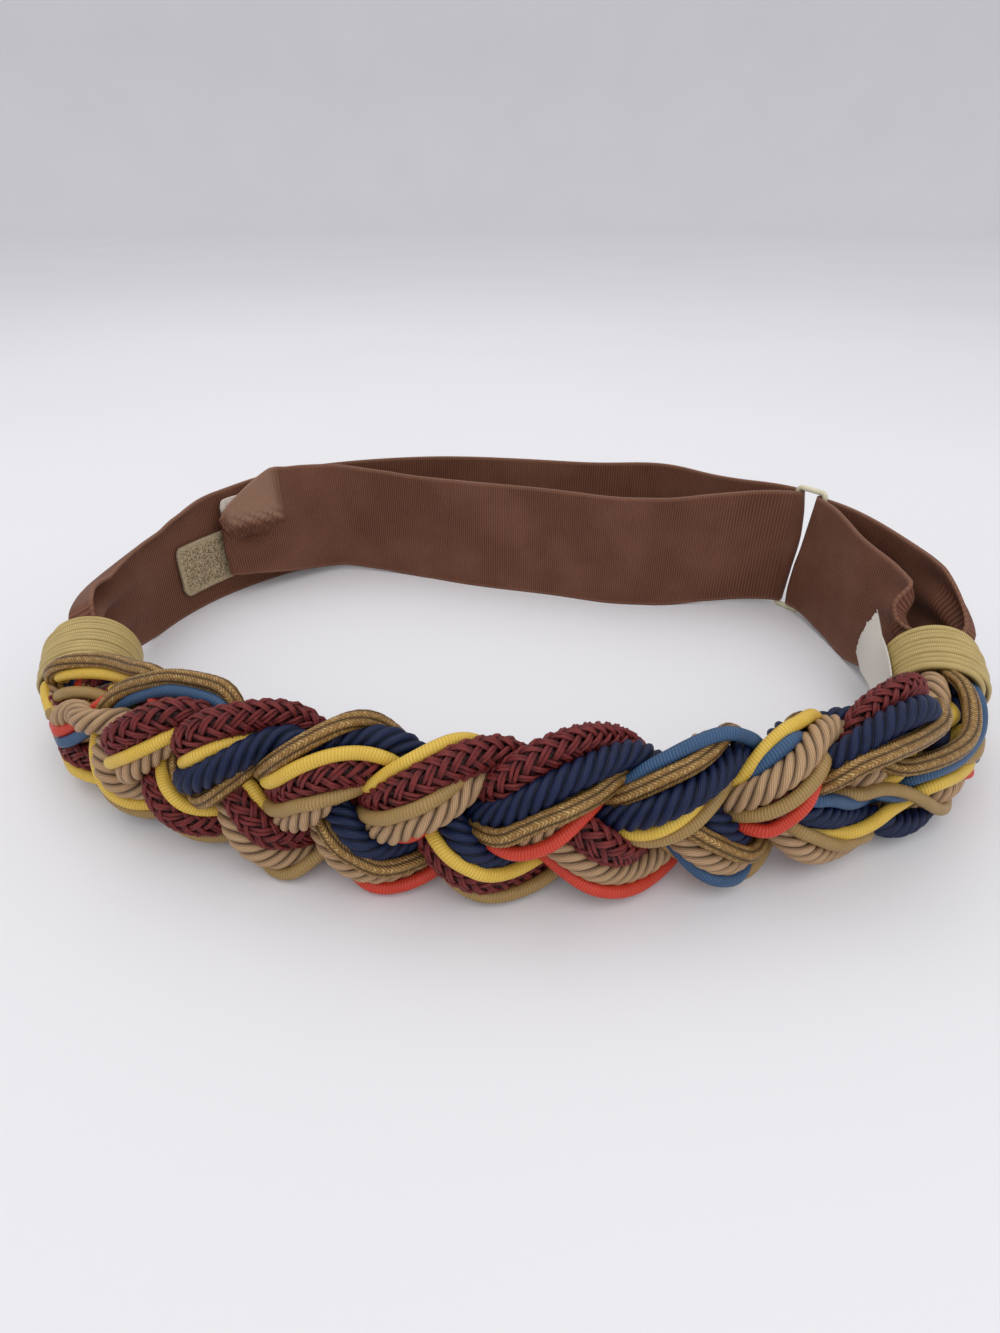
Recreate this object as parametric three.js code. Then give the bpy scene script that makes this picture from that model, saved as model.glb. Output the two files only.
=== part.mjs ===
// A braided cord belt, closed and standing on its lower edge.
// Three bundles of cords are braided across the front. Each end of the braid is bound with a wound cord,
// and a gathered grosgrain strap leaves each binding. A ring joins the two straps at the back, and the long
// one turns back through it to close on a fleece patch.
// Millimetres, +Z up, front towards -Y. The origin is under the middle of the loop, on the table.
import * as THREE from "three";

// Driving sizes.
const loopWidth = 270; // belt line, side to side
const loopDepth = 200; // belt line, front to back
const seatGap = 0.3; // between pieces that touch on the real belt

const strandNames = ["braid_strand_blue", "braid_strand_gold", "braid_strand_red"];
const strandColours = ["#2c4468", "#a8843c", "#6b2a2c"];
const cordsPerStrand = 8;
const braidHeight = 44;
const braidThickness = 24;
const braidEndRun = 30; // the braid spreads to its full height over that length
const swingUpShare = 0.5; // how much of the braid's half height is swing, and the rest is the bundle's own
const swingOutShare = 0.43; // the same for the half thickness
const gatheredSwing = 0.46; // and inside a binding
const strandGap = 0.5;
const ridgeDepth = 0.9; // valley between two cords of a bundle
const pressSharpness = 12; // how sharply a bundle turns where its neighbour presses it flat
const strandStep = 4.7;

const bindingLength = 22;
const bindingCord = 2.4; // diameter of the cord wound round each end
const bindingLift = 5; // under the binding, to the table
const bindingSides = 16;
const gatherRadius = 11.2; // what a binding squeezes strands and straps to
const endSpace = 1.5; // from the middle of a binding to what ends inside it

const strapWidth = 45;
const strapThickness = 1.4;
const strapStep = 7.5;
const pleatPattern = [-1, 1, -1, 1, -1, 1, -1];
const gatheredHeight = 17;
const leftGather = 52; // length over which the long strap is gathered into its binding
const rightGather = 42;
const longPleat = 7; // depth of the pleats inside the binding
const shortPleat = 3.2;
const layerOffset = 3.9; // the two layers of the short strap lie side by side in their binding
const shortStrapBow = 8; // and bow that far apart between there and the ring

const ringWire = 2;
const ringOpening = 9;
const ringEndGap = 0.5; // between a strap's edge and the ring's end
const ringCorner = 1.6; // radius of the wire's middle line
const wireSides = 8;
const cornerSteps = 4;
const foldSteps = 6; // a fold round the ring's bar
const ringRun = 26; // the layers leave the bar over that length
const liftRun = 45; // and come down to the table over that one

const foldBackLength = 252; // long strap from the ring to its tip
const foldBackBow = 35; // widest space between the two runs of the long strap
const tipLift = 8; // the tip closes that much higher than the strap under it
const backBump = 9; // the strap bulges outwards at the back patch
const bumpAt = 58; // from the ring's bar
const bumpRun = 20;

const patchThickness = 1.2;
const patchWidth = 20;
const patchCorner = 3;
const patchBottom = 8;
const patchLength = 46;
const patchShown = 21; // past the tip
const backPatchLength = 33;
const hookThickness = 0.8;
const hookWidth = 20;
const hookBottom = 24;
const hookLength = 20;
const hookInset = 3; // from the tip

const labelLength = 30;
const labelWidth = 12;
const labelThickness = 1;
const labelTop = 28;
const labelAhead = 9; // it starts that far from the binding
const labelSlope = 0.65; // radians, down along the binding
const labelTilt = 0.56; // radians, down away from it
const labelCrease = 1.2;

// The belt line seen from above, from the left binding past the front: shares of half the width and depth.
const beltRows = [
  { place: "left binding", x: -0.919, y: -0.33 },
  { place: "left corner", x: -0.867, y: -0.5 },
  { place: "front left", x: -0.74, y: -0.67 },
  { place: "front left", x: -0.533, y: -0.81 },
  { place: "front left", x: -0.281, y: -0.91 },
  { place: "front", x: 0, y: -0.97 },
  { place: "front right", x: 0.281, y: -0.94 },
  { place: "front right", x: 0.519, y: -0.88 },
  { place: "front right", x: 0.719, y: -0.79 },
  { place: "right corner", x: 0.867, y: -0.64 },
  { place: "right binding", x: 0.963, y: -0.37 },
  { place: "right side", x: 1, y: -0.1 },
  { place: "right side", x: 0.978, y: 0.13 },
  { place: "right side", x: 0.933, y: 0.3 },
  { place: "ring", x: 0.859, y: 0.45 },
  { place: "back right", x: 0.741, y: 0.62 },
  { place: "back right", x: 0.578, y: 0.77 },
  { place: "back", x: 0.333, y: 0.9 },
  { place: "back", x: 0.037, y: 0.98 },
  { place: "back", x: -0.23, y: 1.01 },
  { place: "back left", x: -0.474, y: 0.95 },
  { place: "back left", x: -0.667, y: 0.82 },
  { place: "left side", x: -0.793, y: 0.66 },
  { place: "left side", x: -0.904, y: 0.43 },
  { place: "left side", x: -0.97, y: 0.17 },
  { place: "left side", x: -0.978, y: -0.08 },
];

// Where the strands cross the middle of the front, as shares of the braid's length. A turn is a third of a period.
const crossingRows = [
  { at: 0, turn: -0.75 },
  { at: 0.065, turn: 0 },
  { at: 0.145, turn: 1 },
  { at: 0.218, turn: 2 },
  { at: 0.298, turn: 3 },
  { at: 0.391, turn: 4 },
  { at: 0.475, turn: 5 },
  { at: 0.578, turn: 6 },
  { at: 0.678, turn: 7 },
  { at: 0.76, turn: 8 },
  { at: 1, turn: 8.75 },
];

// The long strap from the ring back to its tip. At: share of that run. Gap: share of the bow.
// Lift: share of the tip's lift. Drop: how far the top edge comes down, as a share of the strap's width.
// Tuck: how far the top edge is pressed back to the strap behind it.
const foldBackRows = [
  { at: 0, gap: 0, lift: 0, drop: 0, tuck: 0 },
  { at: 0.08, gap: 0.42, lift: 0, drop: 0, tuck: 0 },
  { at: 0.18, gap: 0.85, lift: 0, drop: 0, tuck: 0 },
  { at: 0.28, gap: 1, lift: 0, drop: 0, tuck: 0 },
  { at: 0.4, gap: 0.93, lift: 0, drop: 0, tuck: 0 },
  { at: 0.52, gap: 0.84, lift: 0, drop: 0, tuck: 0 },
  { at: 0.62, gap: 0.68, lift: 0, drop: 0, tuck: 0 },
  { at: 0.72, gap: 0.38, lift: 0.1, drop: 0, tuck: 0 },
  { at: 0.8, gap: 0.14, lift: 0.25, drop: 0, tuck: 0 },
  { at: 0.9, gap: 0.18, lift: 0.55, drop: 0, tuck: 0 },
  { at: 0.93, gap: 0.17, lift: 0.7, drop: 0.04, tuck: 0.8 },
  { at: 0.965, gap: 0.12, lift: 0.85, drop: 0.14, tuck: 1 },
  { at: 1, gap: 0.04, lift: 1, drop: 0.36, tuck: 1 },
];

// The inner layer of the short strap, from the ring to its end. Bow: share of the short strap's bow.
const shortRows = [
  { at: 0, bow: 0 },
  { at: 0.3, bow: 0.4 },
  { at: 0.55, bow: 0.95 },
  { at: 0.68, bow: 0.85 },
  { at: 0.8, bow: 0.2 },
  { at: 0.87, bow: 0 },
  { at: 1, bow: 0 },
];

// The label, from its sewn end. Away: from the strap's face, 0, to the binding's, 1.
const labelRows = [
  { at: 0, away: 0 },
  { at: 0.15, away: 0.55 },
  { at: 0.3, away: 1 },
  { at: 0.65, away: 1 },
  { at: 1, away: 1.05 },
];

const lerp = THREE.MathUtils.lerp;
const smooth = (x) => THREE.MathUtils.smoothstep(x, 0, 1);
const up = new THREE.Vector3(0, 0, 1);

// A smooth function through one column of a table, against its column "at". It has no hills between rows.
function through(rows, column) {
  const rises = rows.slice(1).map((row, i) => (row[column] - rows[i][column]) / (row.at - rows[i].at));
  const slopes = rows.map((row, i) => {
    const before = rises[Math.max(i - 1, 0)];
    const after = rises[Math.min(i, rises.length - 1)];
    return before * after > 0 ? (2 * before * after) / (before + after) : 0;
  });
  return (at) => {
    const next = rows.findIndex((row) => row.at > at);
    const i = next < 0 ? rows.length - 2 : Math.max(next - 1, 0);
    const span = rows[i + 1].at - rows[i].at;
    const t = THREE.MathUtils.clamp((at - rows[i].at) / span, 0, 1);
    const rise = rows[i + 1][column] - rows[i][column];
    const curl = slopes[i] * span - rise;
    const uncurl = rise - slopes[i + 1] * span;
    return rows[i][column] + rise * t + t * (1 - t) * (curl * (1 - t) + uncurl * t);
  };
}

// The belt line and the places on it.
const beltPoints = beltRows.map(({ x, y }) => new THREE.Vector3((x * loopWidth) / 2, (y * loopDepth) / 2, 0));
const beltLine = new THREE.CatmullRomCurve3(beltPoints, true);
const stepsPerRow = 40;
const beltLengths = beltLine.getLengths(stepsPerRow * beltRows.length);
beltLine.arcLengthDivisions = stepsPerRow * beltRows.length;
const beltTotal = beltLengths.at(-1);
const stationOf = (place) => beltLengths[beltRows.findIndex((row) => row.place === place) * stepsPerRow];

// A point by its station along the belt line, its distance outwards from it and its height.
function onBelt(station, out, height) {
  const share = THREE.MathUtils.euclideanModulo(station / beltTotal, 1);
  const along = beltLine.getTangentAt(share);
  const outward = new THREE.Vector3(along.y, -along.x, 0);
  return beltLine.getPointAt(share).addScaledVector(outward, out).setZ(height);
}

const leftBinding = 0;
const rightBinding = stationOf("right binding");
const ringStation = stationOf("ring");
const bindingRadius = gatherRadius + seatGap + bindingCord;
const bindingHeight = bindingLift + bindingRadius;
const endInside = bindingLength / 2 - endSpace; // how far strands and straps reach into a binding

// A closed skin over rings of points. Each ring goes round the piece the same way, and two end caps close it.
function skin(rings, capTriangles) {
  const count = rings[0].length;
  const positions = rings.flat().flatMap((p) => [p.x, p.y, p.z]);
  const index = [];
  for (let j = 0; j + 1 < rings.length; j++) {
    for (let i = 0; i < count; i++) {
      const a = j * count + i;
      const b = j * count + ((i + 1) % count);
      index.push(a, b, b + count, a, b + count, a + count);
    }
  }
  const last = (rings.length - 1) * count;
  for (const [a, b, c] of capTriangles(count)) {
    index.push(a, c, b, last + a, last + b, last + c);
  }
  const geometry = new THREE.BufferGeometry();
  geometry.setAttribute("position", new THREE.Float32BufferAttribute(positions, 3));
  geometry.setIndex(index);
  return geometry;
}

// Caps for a round section, as a fan, and for a wall, as a strip between its two faces.
const fanCap = (count) => Array.from({ length: count - 2 }, (_, i) => [0, i + 1, i + 2]);
const wallCap = (count) =>
  Array.from({ length: count / 2 - 1 }, (_, i) => [
    [i, i + 1, count - 2 - i],
    [i, count - 2 - i, count - 1 - i],
  ]).flat();

// Braid. A strand swings up and down and, twice as fast, out and in. Its section is an oval that its
// neighbours press flat along the plane halfway between them, here and half a step before and after.
const braidStart = leftBinding + bindingLength / 2;
const braidLength = rightBinding - bindingLength / 2 - braidStart;
const turnAt = through(crossingRows, "turn");

// The strands' centres at a station, in shares of a bundle's own radii.
function braidAt(station) {
  const fromEnd = Math.min(station - braidStart, braidStart + braidLength - station);
  const spread = smooth(fromEnd / braidEndRun);
  const halfUp = lerp(gatherRadius, braidHeight / 2, spread);
  const halfOut = lerp(gatherRadius, braidThickness / 2, spread);
  const swingUp = halfUp * lerp(gatheredSwing, swingUpShare, spread);
  const swingOut = halfOut * lerp(gatheredSwing, swingOutShare, spread);
  const radii = { up: halfUp - swingUp, out: halfOut - swingOut };
  const centres = strandNames.map((name, order) => {
    const angle = ((turnAt((station - braidStart) / braidLength) - order) * 2 * Math.PI) / strandNames.length;
    const rise = (swingUp * Math.sin(angle)) / radii.up;
    return new THREE.Vector2(rise, (swingOut * Math.sin(2 * angle)) / radii.out);
  });
  return { centres, radii, middle: lerp(bindingHeight, braidHeight / 2, spread) };
}

// The planes between a strand and its neighbours at a station: a point on each and the way to the neighbour.
function planesTo(order, station) {
  const { centres, radii } = braidAt(station);
  const own = centres[order];
  return centres
    .filter((centre) => centre !== own)
    .map((other) => {
      const towards = other.clone().sub(own).normalize();
      const point = own.clone().lerp(other, 0.5).addScaledVector(towards, -strandGap / 2 / radii.out);
      return { point, towards };
    });
}

function strandRing(order, station, step) {
  const { centres, radii, middle } = braidAt(station);
  const own = centres[order];
  const near = [-step / 2, 0, step / 2].map((shift) => planesTo(order, station + shift));
  const corners = cordsPerStrand * 2;
  return Array.from({ length: corners }, (_, i) => {
    const angle = (i / corners) * 2 * Math.PI;
    const ray = new THREE.Vector2(-Math.sin(angle), Math.cos(angle));
    const valley = i % 2 ? ridgeDepth / radii.out : 0;
    let pressed = (1 - valley) ** -pressSharpness;
    for (const neighbour of near[0].keys()) {
      const limits = near.map((planes) => {
        const { point, towards } = planes[neighbour];
        return ray.dot(towards) > 0 ? point.clone().sub(own).dot(towards) / ray.dot(towards) : Infinity;
      });
      pressed += Math.min(...limits) ** -pressSharpness;
    }
    const reach = pressed ** (-1 / pressSharpness);
    return onBelt(station, (own.y + ray.y * reach) * radii.out, middle + (own.x + ray.x * reach) * radii.up);
  });
}

function strandGeometry(order) {
  const first = braidStart - endInside;
  const length = braidLength + 2 * endInside;
  const steps = Math.round(length / strandStep);
  const step = length / steps;
  return skin(
    Array.from({ length: steps + 1 }, (_, j) => strandRing(order, first + j * step, step)),
    fanCap,
  );
}

// Bindings. A cord wound round each end, one turn beside the next, makes one ribbed sleeve.
function bindingGeometry(station) {
  const turns = Math.round(bindingLength / bindingCord);
  const pitch = bindingLength / turns;
  const toFlats = 1 / Math.cos(Math.PI / bindingSides);
  const bore = (gatherRadius + seatGap) * toFlats;
  const valley = bore + bindingCord / 2;
  const profile = [[bore, 0]];
  for (let turn = 0; turn < turns; turn++) {
    const start = turn * pitch;
    profile.push([valley, start], [bindingRadius, start + pitch / 4], [bindingRadius, start + (3 * pitch) / 4]);
  }
  profile.push([valley, bindingLength], [bore, bindingLength], [bore, 0]);
  const outline = profile.map(([radius, along]) => new THREE.Vector2(radius, along - bindingLength / 2));
  const sleeve = new THREE.LatheGeometry(outline, bindingSides);
  const corner = new THREE.Vector3();
  for (let i = 0; i < sleeve.attributes.position.count; i++) {
    corner.fromBufferAttribute(sleeve.attributes.position, i);
    const bent = onBelt(station + corner.y, corner.x, bindingHeight + corner.z);
    sleeve.attributes.position.setXYZ(i, bent.x, bent.y, bent.z);
  }
  return sleeve;
}

// Straps. A frame is a place on a strap: a plan point and the direction of the strap's left side there.
// Heading is 1 along the belt line and -1 against it.
const foldRadius = ringWire / 2 + seatGap + strapThickness / 2;
const ringHalf = (ringOpening + ringWire) / 2;
const barStation = { long: ringStation + ringHalf, short: ringStation - ringHalf };

function straightFrame(station, heading) {
  const side = onBelt(station, -heading, 0).sub(onBelt(station, 0, 0));
  return { origin: onBelt(station, 0, 0), side };
}

// Round the ring's bar, from one heading to the other.
function turnFrames(station, heading) {
  const { origin, side } = straightFrame(station, heading);
  const back = new THREE.Vector3().crossVectors(up, side).multiplyScalar(-heading);
  return Array.from({ length: foldSteps - 1 }, (_, i) => {
    const angle = (Math.PI * (i + 1)) / foldSteps;
    const turned = side.clone().multiplyScalar(Math.cos(angle)).addScaledVector(back, -Math.sin(angle));
    return { origin, side: turned };
  });
}

// The middle line of a strap's section, bottom to top, as {aside, height}.
function strapLine({ aside, lift, gather, pleat, drop = 0, lean = 0 }) {
  const bottom = lerp(lift, bindingHeight - gatheredHeight / 2, gather);
  const width = lerp(strapWidth, gatheredHeight, gather) * (1 - drop);
  return pleatPattern.map((fold, i) => {
    const share = i / (pleatPattern.length - 1);
    return { aside: aside + (pleat / 2) * gather * fold - lean * share ** 2, height: bottom + width * share };
  });
}

// The corners of a wall round its middle line: up its left face and down its right one.
function wallRing({ origin, side }, line, thickness) {
  const slopes = line.slice(1).map((next, i) => {
    const rise = new THREE.Vector2(next.height - line[i].height, line[i].aside - next.aside);
    return rise.normalize();
  });
  const face = (sign) =>
    line.map((point, i) => {
      const before = slopes[Math.max(i - 1, 0)];
      const after = slopes[Math.min(i, slopes.length - 1)];
      const middle = before.clone().add(after).normalize();
      const shift = (sign * thickness) / 2 / middle.dot(after);
      const aside = point.aside + middle.x * shift;
      return origin.clone().addScaledVector(side, aside).setZ(point.height + middle.y * shift);
    });
  return [...face(1), ...face(-1).reverse()];
}

const awayFromRing = (distance, run) => 1 - smooth(distance / run);
const ringLift = (distance) => (ringWire + ringEndGap) * awayFromRing(distance, liftRun);

// Long strap: from its binding to the ring, round the bar and back to its tip.
const longStart = barStation.long;
const longEnd = beltTotal - endSpace;
const longSteps = Math.round((longEnd - longStart) / strapStep);
const tipSteps = Math.round(foldBackLength / strapStep);
const longStation = (step) => lerp(longStart, longEnd, step / longSteps);
const closedSeat = strapThickness + patchThickness + hookThickness + 3 * seatGap;
const foldBackGap = through(foldBackRows, "gap");
const foldBackLift = through(foldBackRows, "lift");
const foldBackDrop = through(foldBackRows, "drop");
const foldBackTuck = through(foldBackRows, "tuck");

function outerBulge(station) {
  const fromBump = (station - longStart - bumpAt) / bumpRun;
  return foldRadius * awayFromRing(station - longStart, ringRun) + backBump * Math.exp(-(fromBump ** 2));
}

function longOuterLine(step) {
  const station = longStation(step);
  const gather = 1 - smooth((longEnd - endInside - station) / leftGather);
  const lift = ringLift(station - longStart);
  return strapLine({ aside: outerBulge(station), lift, gather, pleat: longPleat });
}

function longInnerLine(step) {
  const station = longStation(step);
  const share = step / tipSteps;
  const aside = lerp(closedSeat, foldRadius, awayFromRing(station - longStart, ringRun));
  const gap = foldBackBow * foldBackGap(share);
  const lift = ringLift(station - longStart) + tipLift * foldBackLift(share);
  const lean = gap * foldBackTuck(share);
  return strapLine({ aside: aside + gap, lift, gather: 0, pleat: 0, drop: foldBackDrop(share), lean });
}

function longStrapGeometry() {
  const ring = (frame, line) => wallRing(frame, line, strapThickness);
  const outer = Array.from({ length: longSteps + 1 }, (_, i) => {
    const step = longSteps - i;
    return ring(straightFrame(longStation(step), -1), longOuterLine(step));
  });
  const fold = turnFrames(longStart, -1).map((frame) => ring(frame, longOuterLine(0)));
  const inner = Array.from({ length: tipSteps + 1 }, (_, step) =>
    ring(straightFrame(longStation(step), 1), longInnerLine(step)),
  );
  return skin([...outer, ...fold, ...inner], wallCap);
}

// Short strap: out of its binding, round the other bar and back into the binding.
const shortStart = barStation.short;
const shortEnd = rightBinding + endSpace;
const shortSteps = Math.round((shortStart - shortEnd) / strapStep);
const shortStation = (step) => lerp(shortStart, shortEnd, step / shortSteps);
const shortBow = through(shortRows, "bow");

function shortLine(step, inner) {
  const station = shortStation(step);
  const share = step / shortSteps;
  const gather = 1 - smooth((station - shortEnd - endInside) / rightGather);
  const layer = lerp(foldRadius, layerOffset, share) + (inner ? shortStrapBow * shortBow(share) : 0);
  return strapLine({ aside: -layer, lift: ringLift(shortStart - station), gather, pleat: shortPleat });
}

function shortStrapGeometry() {
  const ring = (frame, line) => wallRing(frame, line, strapThickness);
  const outer = Array.from({ length: shortSteps + 1 }, (_, i) => {
    const step = shortSteps - i;
    return ring(straightFrame(shortStation(step), 1), shortLine(step, false));
  });
  const fold = turnFrames(shortStart, 1).map((frame) => ring(frame, shortLine(0, false)));
  const inner = Array.from({ length: shortSteps + 1 }, (_, step) =>
    ring(straightFrame(shortStation(step), -1), shortLine(step, true)),
  );
  return skin([...outer, ...fold, ...inner], wallCap);
}

// Ring: a round wire bent to a tall rectangle whose long bars carry the two folds.
function ringGeometry() {
  const shortBar = onBelt(barStation.short, 0, 0);
  const longBar = onBelt(barStation.long, 0, 0);
  const across = longBar.clone().sub(shortBar);
  const middle = shortBar.clone().addScaledVector(across, 0.5);
  const halfWide = across.length() / 2 - ringCorner;
  const halfTall = (strapWidth + 2 * ringEndGap + ringWire) / 2 - ringCorner;
  across.normalize();
  const rings = [];
  for (const [quarter, [x, z]] of [[1, 1], [-1, 1], [-1, -1], [1, -1]].entries()) {
    for (let i = 0; i < cornerSteps; i++) {
      const angle = ((quarter + i / (cornerSteps - 1)) * Math.PI) / 2;
      const outward = across.clone().multiplyScalar(Math.cos(angle)).addScaledVector(up, Math.sin(angle));
      const centre = middle.clone().addScaledVector(across, x * halfWide);
      centre.z = (z + 1) * halfTall + ringCorner + ringWire / 2;
      centre.addScaledVector(outward, ringCorner);
      const flat = new THREE.Vector3().crossVectors(up, across);
      rings.push(
        Array.from({ length: wireSides }, (_, k) => {
          const around = ((k + 0.5) / wireSides) * 2 * Math.PI;
          return centre
            .clone()
            .addScaledVector(outward, (ringWire / 2) * Math.cos(around))
            .addScaledVector(flat, (ringWire / 2) * Math.sin(around));
        }),
      );
    }
  }
  return skin([...rings, rings[0]], () => []);
}

// Patches. A patch lies along the long strap and takes its bends from the strap's own steps.
function betweenSteps(step, lineAt) {
  const low = Math.floor(step);
  const share = step - low;
  const [first, second] = [low, low + 1].map((whole) => {
    const { origin, side } = straightFrame(longStation(whole), 1);
    return { origin, side, aside: -lineAt(whole)[0].aside };
  });
  const origin = first.origin.addScaledVector(first.side, first.aside);
  const other = second.origin.addScaledVector(second.side, second.aside);
  return { origin: origin.lerp(other, share), side: first.side.lerp(second.side, share) };
}

function patchGeometry({ from, to, bottom, width, offset, thickness, lineAt }) {
  const perStep = (longEnd - longStart) / longSteps;
  const places = [0, patchCorner / 3, patchCorner].flatMap((inset) => [from + inset, to - inset]);
  const steps = places.map((place) => (place - longStart) / perStep);
  steps.sort((a, b) => a - b);
  for (let whole = Math.ceil(steps[2]); whole < steps[3]; whole++) steps.push(whole);
  steps.sort((a, b) => a - b);
  const rings = steps.map((step) => {
    const fromEnd = Math.min(step - steps[0], steps.at(-1) - step) * perStep;
    const round = Math.max(patchCorner - fromEnd, 0) / patchCorner;
    const inset = patchCorner * (1 - Math.sqrt(1 - round ** 2));
    const line = [0, 1].map((end) => ({
      aside: offset,
      height: lerp(bottom + inset, bottom + width - inset, end),
    }));
    return wallRing(betweenSteps(step, lineAt), line, thickness);
  });
  return skin(rings, wallCap);
}

const patchOffset = (strapThickness + patchThickness) / 2 + seatGap;
const sidePatch = {
  from: longStation(tipSteps) + patchShown - patchLength,
  to: longStation(tipSteps) + patchShown,
  bottom: patchBottom,
  width: patchWidth,
  offset: patchOffset,
  thickness: patchThickness,
  lineAt: longOuterLine,
};
const backPatch = {
  from: longStart + bumpAt - backPatchLength / 2,
  to: longStart + bumpAt + backPatchLength / 2,
  bottom: patchBottom,
  width: patchWidth,
  offset: patchOffset,
  thickness: patchThickness,
  lineAt: longOuterLine,
};
const hookPatch = {
  from: longStation(tipSteps) - hookInset - hookLength,
  to: longStation(tipSteps) - hookInset,
  bottom: hookBottom,
  width: hookWidth,
  offset: patchOffset + (patchThickness + hookThickness) / 2 + seatGap,
  thickness: hookThickness,
  lineAt: longOuterLine,
};

// Label: a creased tab sewn to the gathered short strap, hanging beside its binding.
function labelGeometry() {
  const strapEdge = layerOffset + shortPleat / 2 + strapThickness + seatGap;
  const rings = labelRows.map(({ at, away }) => {
    const station = rightBinding + bindingLength / 2 + labelAhead - at * labelLength * Math.cos(labelSlope);
    const inward = lerp(strapEdge, bindingRadius, away) + seatGap;
    const height = labelTop - at * labelLength * Math.sin(labelSlope);
    const leaf = [0, 0.5, 1].map((share) => {
      const reach = labelWidth * share;
      const rise = -reach * Math.sin(labelTilt) + (share === 0.5 ? labelCrease : 0);
      return { inward: inward + reach * Math.cos(labelTilt), rise };
    });
    const face = (shift) => leaf.map((point) => onBelt(station, -point.inward, height + point.rise + shift));
    return [...face(labelThickness / 2), ...face(-labelThickness / 2).reverse()];
  });
  return skin(rings, wallCap);
}

// The finished pieces, each with its own material.
const finish = (color, roughness = 0.85) => new THREE.MeshStandardMaterial({ color, roughness, metalness: 0 });
const belt = new THREE.Group();

function addPiece(name, geometry, material) {
  const piece = new THREE.Mesh(geometry, material);
  piece.name = name;
  belt.add(piece);
}

strandNames.forEach((name, order) => addPiece(name, strandGeometry(order), finish(strandColours[order])));
addPiece("binding_left", bindingGeometry(leftBinding), finish("#b0a060", 0.55));
addPiece("binding_right", bindingGeometry(rightBinding), finish("#b0a060", 0.55));
addPiece("strap_long", longStrapGeometry(), finish("#724c40", 0.75));
addPiece("strap_short", shortStrapGeometry(), finish("#6e483d", 0.75));
addPiece("ring", ringGeometry(), finish("#d8d0ae", 0.3));
addPiece("loop_patch_side", patchGeometry(sidePatch), finish("#9b8a70", 0.95));
addPiece("loop_patch_back", patchGeometry(backPatch), finish("#9b8a70", 0.95));
addPiece("hook_patch", patchGeometry(hookPatch), finish("#cbbfb0", 0.8));
addPiece("label", labelGeometry(), finish("#d9d2c8", 0.9));

// The origin goes under the middle of the belt.
const bounds = new THREE.Box3().setFromObject(belt);
const middle = bounds.getCenter(new THREE.Vector3());
belt.position.set(-middle.x, -middle.y, -bounds.min.z);

export default belt;
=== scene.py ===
import itertools
import math

import bmesh
import bpy
import numpy as np
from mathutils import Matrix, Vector


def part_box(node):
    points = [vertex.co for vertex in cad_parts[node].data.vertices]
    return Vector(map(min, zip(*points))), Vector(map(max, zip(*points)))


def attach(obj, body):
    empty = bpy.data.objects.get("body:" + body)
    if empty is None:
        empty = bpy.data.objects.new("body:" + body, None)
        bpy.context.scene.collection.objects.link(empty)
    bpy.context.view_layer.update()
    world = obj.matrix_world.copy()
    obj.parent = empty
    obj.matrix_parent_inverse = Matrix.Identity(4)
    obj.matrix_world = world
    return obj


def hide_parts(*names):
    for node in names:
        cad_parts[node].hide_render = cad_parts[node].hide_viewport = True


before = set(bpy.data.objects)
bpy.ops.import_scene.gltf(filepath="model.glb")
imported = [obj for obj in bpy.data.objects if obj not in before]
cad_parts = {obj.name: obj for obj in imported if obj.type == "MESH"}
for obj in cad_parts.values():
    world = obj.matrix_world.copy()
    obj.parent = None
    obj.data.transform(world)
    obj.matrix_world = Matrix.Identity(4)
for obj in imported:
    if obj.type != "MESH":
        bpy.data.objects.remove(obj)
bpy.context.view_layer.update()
mm = 0.001


def smooth(x):
    t = np.clip(x, 0, 1)
    return t * t * (3 - 2 * t)


def mix(a, b, t):
    return a + (b - a) * t


# A smooth function through values at places, with no hills between them.
def curveThrough(at, value):
    at = np.array(at, float)
    value = np.array(value, float)
    rises = np.diff(value) / np.diff(at)
    before = np.concatenate([rises[:1], rises])
    after = np.concatenate([rises, rises[-1:]])
    agree = before * after > 0
    slopes = np.where(agree, 2 * before * after / np.where(agree, before + after, 1), 0)

    def valueAt(x):
        i = np.clip(np.searchsorted(at, x, side="right") - 1, 0, len(at) - 2)
        span = at[i + 1] - at[i]
        t = np.clip((x - at[i]) / span, 0, 1)
        rise = value[i + 1] - value[i]
        curl = slopes[i] * span - rise
        uncurl = rise - slopes[i + 1] * span
        return value[i] + rise * t + t * (1 - t) * (curl * (1 - t) + uncurl * t)

    return valueAt


def through(columns, name):
    return curveThrough(columns["at"], columns[name])


# 1 over a span and 0 outside it. Span: where it starts, how long it rises, where it ends, how long it falls.
def hump(x, span):
    start, rise, end, fall = span
    return smooth((x - start) / rise) * smooth((end - x) / fall)


# A curve from one point to the next, leaving along the first slope and arriving along the second.
def cubic(start, end, first, second, t):
    curve = start + first * t
    curve = curve + (3 * (end - start) - 2 * first - second) * t**2
    return curve + (2 * (start - end) + first + second) * t**3


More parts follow.
